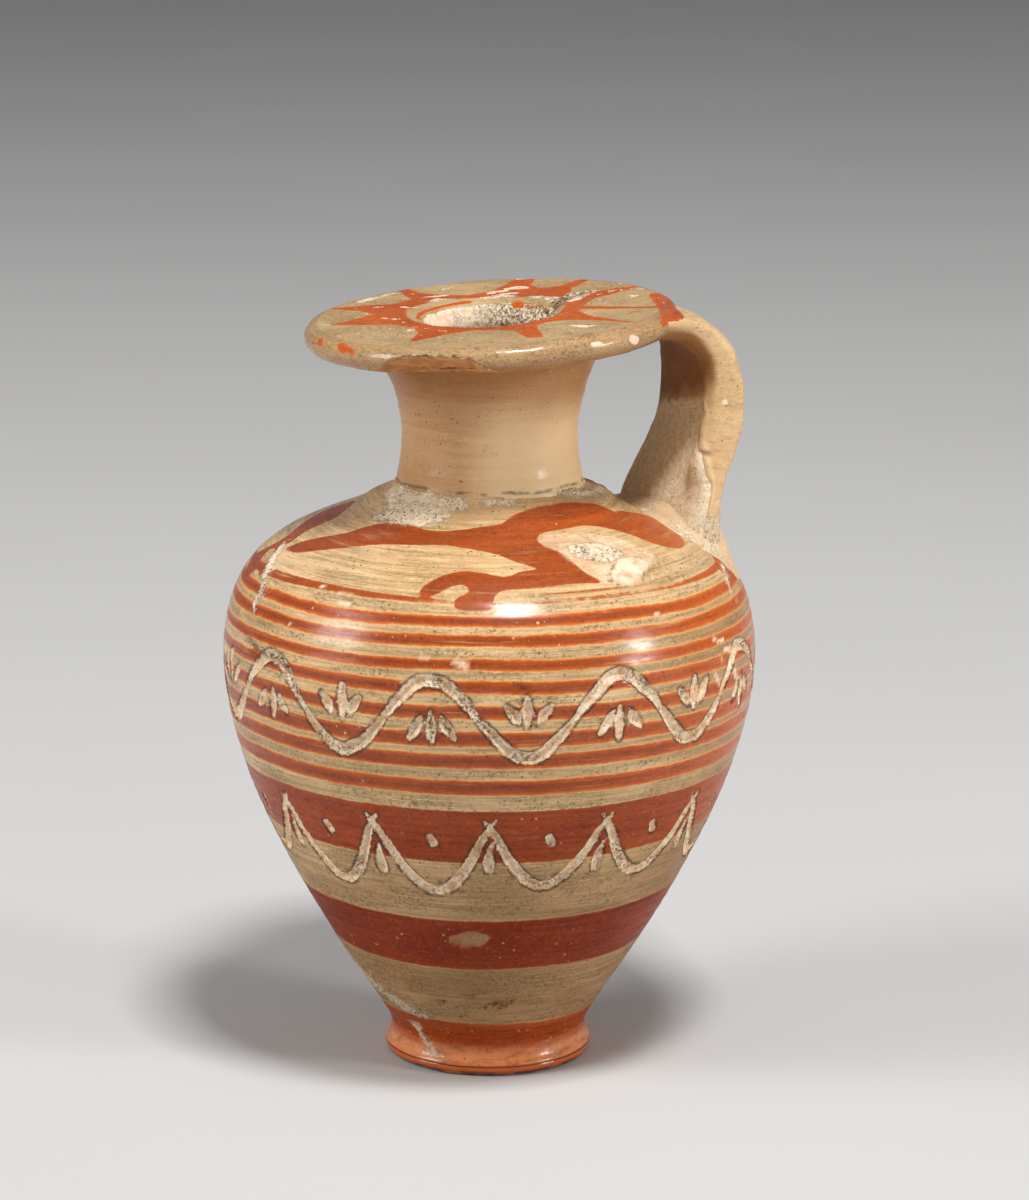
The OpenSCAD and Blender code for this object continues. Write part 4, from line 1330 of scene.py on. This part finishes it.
def strap_skin():
    """The plain strap row by row: points, ways out, way along, share facing in, place in the near edge."""
    over, down = strap_line()
    rows, around = STRAP_ROWS, STRAP_AROUND
    whole = joined(over, down)
    line, run = evenly(whole, rows), way_along(whole)
    share = np.concatenate([np.linspace(0, 0.5, len(over)), np.linspace(0.5, 1, len(down))[1:]])
    s = np.interp(np.linspace(0, run[-1], rows), run, share)
    width = STRAP_W + STRAP_TOP_FLARE * (1 - np.minimum(1, s / 0.35)) ** 2
    width = width + STRAP_ROOT_FLARE * ease((s - 0.6) / 0.4)
    thick = STRAP_T + STRAP_T_MID * ease((s - 0.12) / 0.34) + STRAP_T_ROOT * ease((s - 0.78) / 0.22)
    way = np.gradient(line, axis=0)
    way /= np.linalg.norm(way, axis=1)[:, None]
    angle = np.linspace(0, 2 * np.pi, 721)
    c, n = np.cos(angle), np.sin(angle)
    points, outward, inner, side = [], [], [], []
    for k in range(rows):
        power = SECTION_POWER + 0.2 * (1 - ease((s[k] - 0.3) / 0.2))
        across = width[k] / 2 * np.sign(c) * np.abs(c) ** power
        deep = thick[k] / 2 * np.sign(n) * np.abs(n) ** power
        loop = evenly(np.stack([across, deep], -1), around + 1)[:-1]
        step = np.roll(loop, -1, 0) - np.roll(loop, 1, 0)
        out = np.stack([step[:, 1], -step[:, 0]], -1)
        out /= np.linalg.norm(out, axis=1)[:, None]
        x = line[k, 0] + loop[:, 1] * way[k, 1]
        z = line[k, 1] - loop[:, 1] * way[k, 0]
        points.append(np.stack([x, loop[:, 0], z], -1))
        outward.append(np.stack([out[:, 1] * way[k, 1], out[:, 0], -out[:, 1] * way[k, 0]], -1))
        inner.append(out[:, 1])
        side.append(np.where(loop[:, 0] < -0.3 * width[k], loop[:, 1] / (thick[k] / 2), 9.0))
    facing_in = ease((np.concatenate(inner) - 0.2) / 0.5)
    return np.concatenate(points), np.concatenate(outward), way, facing_in, np.concatenate(side)


def make_strap():
    """The wide strap handle."""
    rows, around = STRAP_ROWS, STRAP_AROUND
    points, outward, way, facing_in, through = strap_skin()
    ragged = rough(points, 2.4, 4)
    long_folds = rough(points * (1.0, 1.0, 0.3), 1.8, 3, 6.0)
    points += outward * (0.07 * ragged + 0.06 * long_folds)[:, None]
    z, y = points[:, 2], points[:, 1]
    # The outer face swells at the bend, and the inner face stands further in
    inside = np.where(through < 5, ease((through + 0.3) / 1.1), facing_in)
    bulge = 0.26 * ease((z - 46.2) / 1.5) * ease((50.4 - z) / 1.0) + 0.1 * np.exp(-(((z - 42.2) / 0.9) ** 2))
    bulge -= 0.27 * ease((40.8 - z) / 1.6)
    far = 0.25 * ease((47.5 - z) / 1.5) + 0.5 * ease((42.6 - z) / 5.0)
    near = 0.7 * ease((z - 38.4) / 1.8) - 0.2 * ease((38.6 - z) / 1.0)
    thicker = far * ease((y + 3.5) / 3.0) + near * ease((-3.2 - y) / 1.7)
    row_way = np.repeat(np.stack([way[:, 1], np.zeros(rows), -way[:, 0]], -1), around, axis=0)
    points += row_way * (thicker * inside - bulge * (1 - inside))[:, None]
    # A raised line runs down the near edge, and the deposit starts behind it
    wander = 0.14 * rough(points, 2.0, 3, 11.0)
    rim_at = 0.66 - 0.72 * ease((42.8 - z) / 5.2) + wander
    ridge = ease(1 - np.abs(through - rim_at) / 0.12) * ease((45.0 - z) / 1.0)
    points += outward * (0.07 * ridge)[:, None]
    dent = ease(1 - np.abs(through - rim_at) / 0.3) * ease(1 - np.abs(z - 40.9) / 0.3)
    points -= outward * (0.15 * dent)[:, None]
    behind_rim = np.where(through < 5, ease((through - rim_at - 0.08) / 0.12), facing_in)
    crust = behind_rim * ease((44.6 - z - 0.21 * y) / 2.0) * 0.9
    plate = on_disc(points)
    patch = flat_shape(np.column_stack([plate[:, :2], np.zeros(len(plate))]), JUNCTION_PATCH, 4)
    rays = np.where((plate[:, 2] > 1.5) & (facing_in < 0.5), patch, 9.0)
    faces = grid_faces(rows, around, False)
    faces.append(list(range(around))[::-1])
    faces.append(list(range((rows - 1) * around, rows * around)))
    caked = ease((37.9 - z + 0.9 * ragged) / 2.0) * (through < 0.5) * 0.6
    pop = ease(1 - np.linalg.norm(points - STRAP_POP, axis=1) / 0.36)
    marks = {
        "inner": facing_in, "crust": crust, "ridge": ridge, "dent": dent, "rays": rays, "caked": caked,
        "pop": pop,
    }
    piece = build("strap", points, faces, marks)
    return settle(piece, "strap_handle", strap_clay())


def make_root():
    """The clay pressed on the shoulder round the strap's root, rising to a fillet."""
    around = STRAP_AROUND
    share = np.linspace(0.0, 1.0, ROOT_RINGS)[1:]
    a = np.linspace(0, 2 * np.pi, around, endpoint=False)
    c, n = np.cos(a), np.sin(a)
    x = ROOT_HALF_X * np.sign(c) * np.abs(c) ** 0.75
    y = ROOT_HALF_Y * np.sign(n) * np.abs(n) ** 0.75
    px = ROOT_R + share[:, None] * x[None, :]
    py = share[:, None] * y[None, :]
    px, py = np.append(px.ravel(), ROOT_R), np.append(py.ravel(), 0.0)
    r = np.hypot(px, py)
    z = np.interp(r, UPPER_WALL[::-1, 0], UPPER_WALL[::-1, 1])
    base = np.stack([px, py, z], -1)
    out = outwards(UPPER_WALL)
    radial = np.interp(r, UPPER_WALL[::-1, 0], out[::-1, 0])
    rising = np.interp(r, UPPER_WALL[::-1, 0], out[::-1, 1])
    outward = np.stack([radial * px / r, radial * py / r, rising], -1)
    reach = np.append(np.repeat(share, around), 0.0)
    ragged = rough(base, 1.6, 4)
    high = PAD_T * 2.6 * (1 - ease((reach - 0.35) / 0.65)) - 0.04 * (reach > 0.99)
    high += 0.06 * ragged * ease((1 - reach) / 0.2)
    ridge = ease(1 - np.abs(reach - 0.7 - 0.05 * ragged) / 0.08) * ease((ROOT_R + 0.6 - base[:, 0]) / 1.5)
    high += 0.05 * ridge
    top = base + outward * high[:, None]
    bottom = (base - outward * 0.3)[-around - 1 :]
    points = np.vstack([top, bottom])
    count, last = len(top), len(points) - 1
    edge = count - 1 - around
    faces = [[a, d, c, b] for a, b, c, d in grid_faces(ROOT_RINGS - 1, around, False)]
    for j in range(around):
        k = (j + 1) % around
        faces.append([count - 1, j, k])
        faces.append([edge + j, count + j, count + k, edge + k])
    faces += [[last, count + (j + 1) % around, count + j] for j in range(around)]
    crust = 0.55 * ease((0.5 - rough(points, 2.0, 3, 9.0)) / 1.0) * (points[:, 0] < 14.0)
    ridge = np.append(ridge, np.zeros(len(bottom)))
    piece = build("root_collar", points, faces, {"crust": crust, "ridge": ridge})
    return settle(piece, "root_pad", root_clay())


FLOOR_HALF = 4.0
FLOOR_COOL, FLOOR_WARM = tone(202, 201, 199), tone(208, 207, 205)
SURROUND, SURROUND_STRENGTH = tone(226, 226, 230), 0.24
LAMP_AIM = (0, 0, 0.03)
# Each lamp's name, place in metres, size in metres and power in watts
LAMPS = (
    ("lamp_top", (0.02, -0.25, 0.62), (0.13, 0.1), 3.3),
    ("lamp_right", (0.5, -0.4, 0.2), (0.12, 0.14), 2.0),
    ("lamp_left", (-0.6, 0.0, 0.3), (0.22, 0.32), 2.4),
)


def make_floor():
    """A plain pale floor."""
    mesh = bpy.data.meshes.new("floor")
    corners = [(x * FLOOR_HALF, y * FLOOR_HALF, 0) for x, y in ((-1, -1), (1, -1), (1, 1), (-1, 1))]
    mesh.from_pydata(corners, [], [[0, 1, 2, 3]])
    floor = bpy.data.objects.new("floor", mesh)
    bpy.context.scene.collection.objects.link(floor)
    s = Surface("floor")
    colour = s.mix(s.noise(60.0, 0.5, detail=2.0), FLOOR_COOL, FLOOR_WARM)
    floor.data.materials.append(s.finish(colour, 0.8, s.noise(4.0), 0.02))


def add_lamp(name, place, size, power):
    """One soft lamp that looks at the flask."""
    lamp = bpy.data.lights.new(name, "AREA")
    lamp.shape, lamp.size, lamp.size_y = "RECTANGLE", size[0], size[1]
    lamp.energy = power
    holder = bpy.data.objects.new(name, lamp)
    bpy.context.scene.collection.objects.link(holder)
    holder.location = place
    way = Vector(LAMP_AIM) - Vector(place)
    holder.rotation_euler = way.to_track_quat("-Z", "Y").to_euler()


def make_light():
    """Soft studio light from above the front and from both sides."""
    for name, place, size, power in LAMPS:
        add_lamp(name, place, size, power)
    world = bpy.data.worlds.new("surround")
    bpy.context.scene.world = world
    world.use_nodes = True
    background = world.node_tree.nodes["Background"]
    background.inputs["Color"].default_value = SURROUND
    background.inputs["Strength"].default_value = SURROUND_STRENGTH


CAMERA_PLACE = (-81.32, -250.29, 89.27)
CAMERA_TURN, CAMERA_PITCH, CAMERA_ROLL = 18.0, 12.516, -0.163
CAMERA_LENS, CAMERA_SENSOR, CAMERA_SHIFT = 122.1, 36.0, 0.021


def make_camera():
    """The camera, a little above the mouth and round to the left of the front."""
    camera = bpy.data.cameras.new("camera")
    camera.lens, camera.sensor_width = CAMERA_LENS, CAMERA_SENSOR
    camera.shift_x = CAMERA_SHIFT
    camera.clip_start, camera.clip_end = 0.01, 20.0
    holder = bpy.data.objects.new("camera", camera)
    bpy.context.scene.collection.objects.link(holder)
    turn = (
        Matrix.Rotation(math.radians(-CAMERA_TURN), 4, "Z")
        @ Matrix.Rotation(math.radians(90 - CAMERA_PITCH), 4, "X")
        @ Matrix.Rotation(math.radians(-CAMERA_ROLL), 4, "Z")
    )
    holder.matrix_world = Matrix.Translation([v * MM for v in CAMERA_PLACE]) @ turn
    bpy.context.scene.camera = holder


make_body()
make_foot()
make_neck()
make_coil()
make_disc()
make_strap()
make_root()
make_floor()
make_light()
make_camera()
bpy.context.scene.view_settings.view_transform = "Standard"
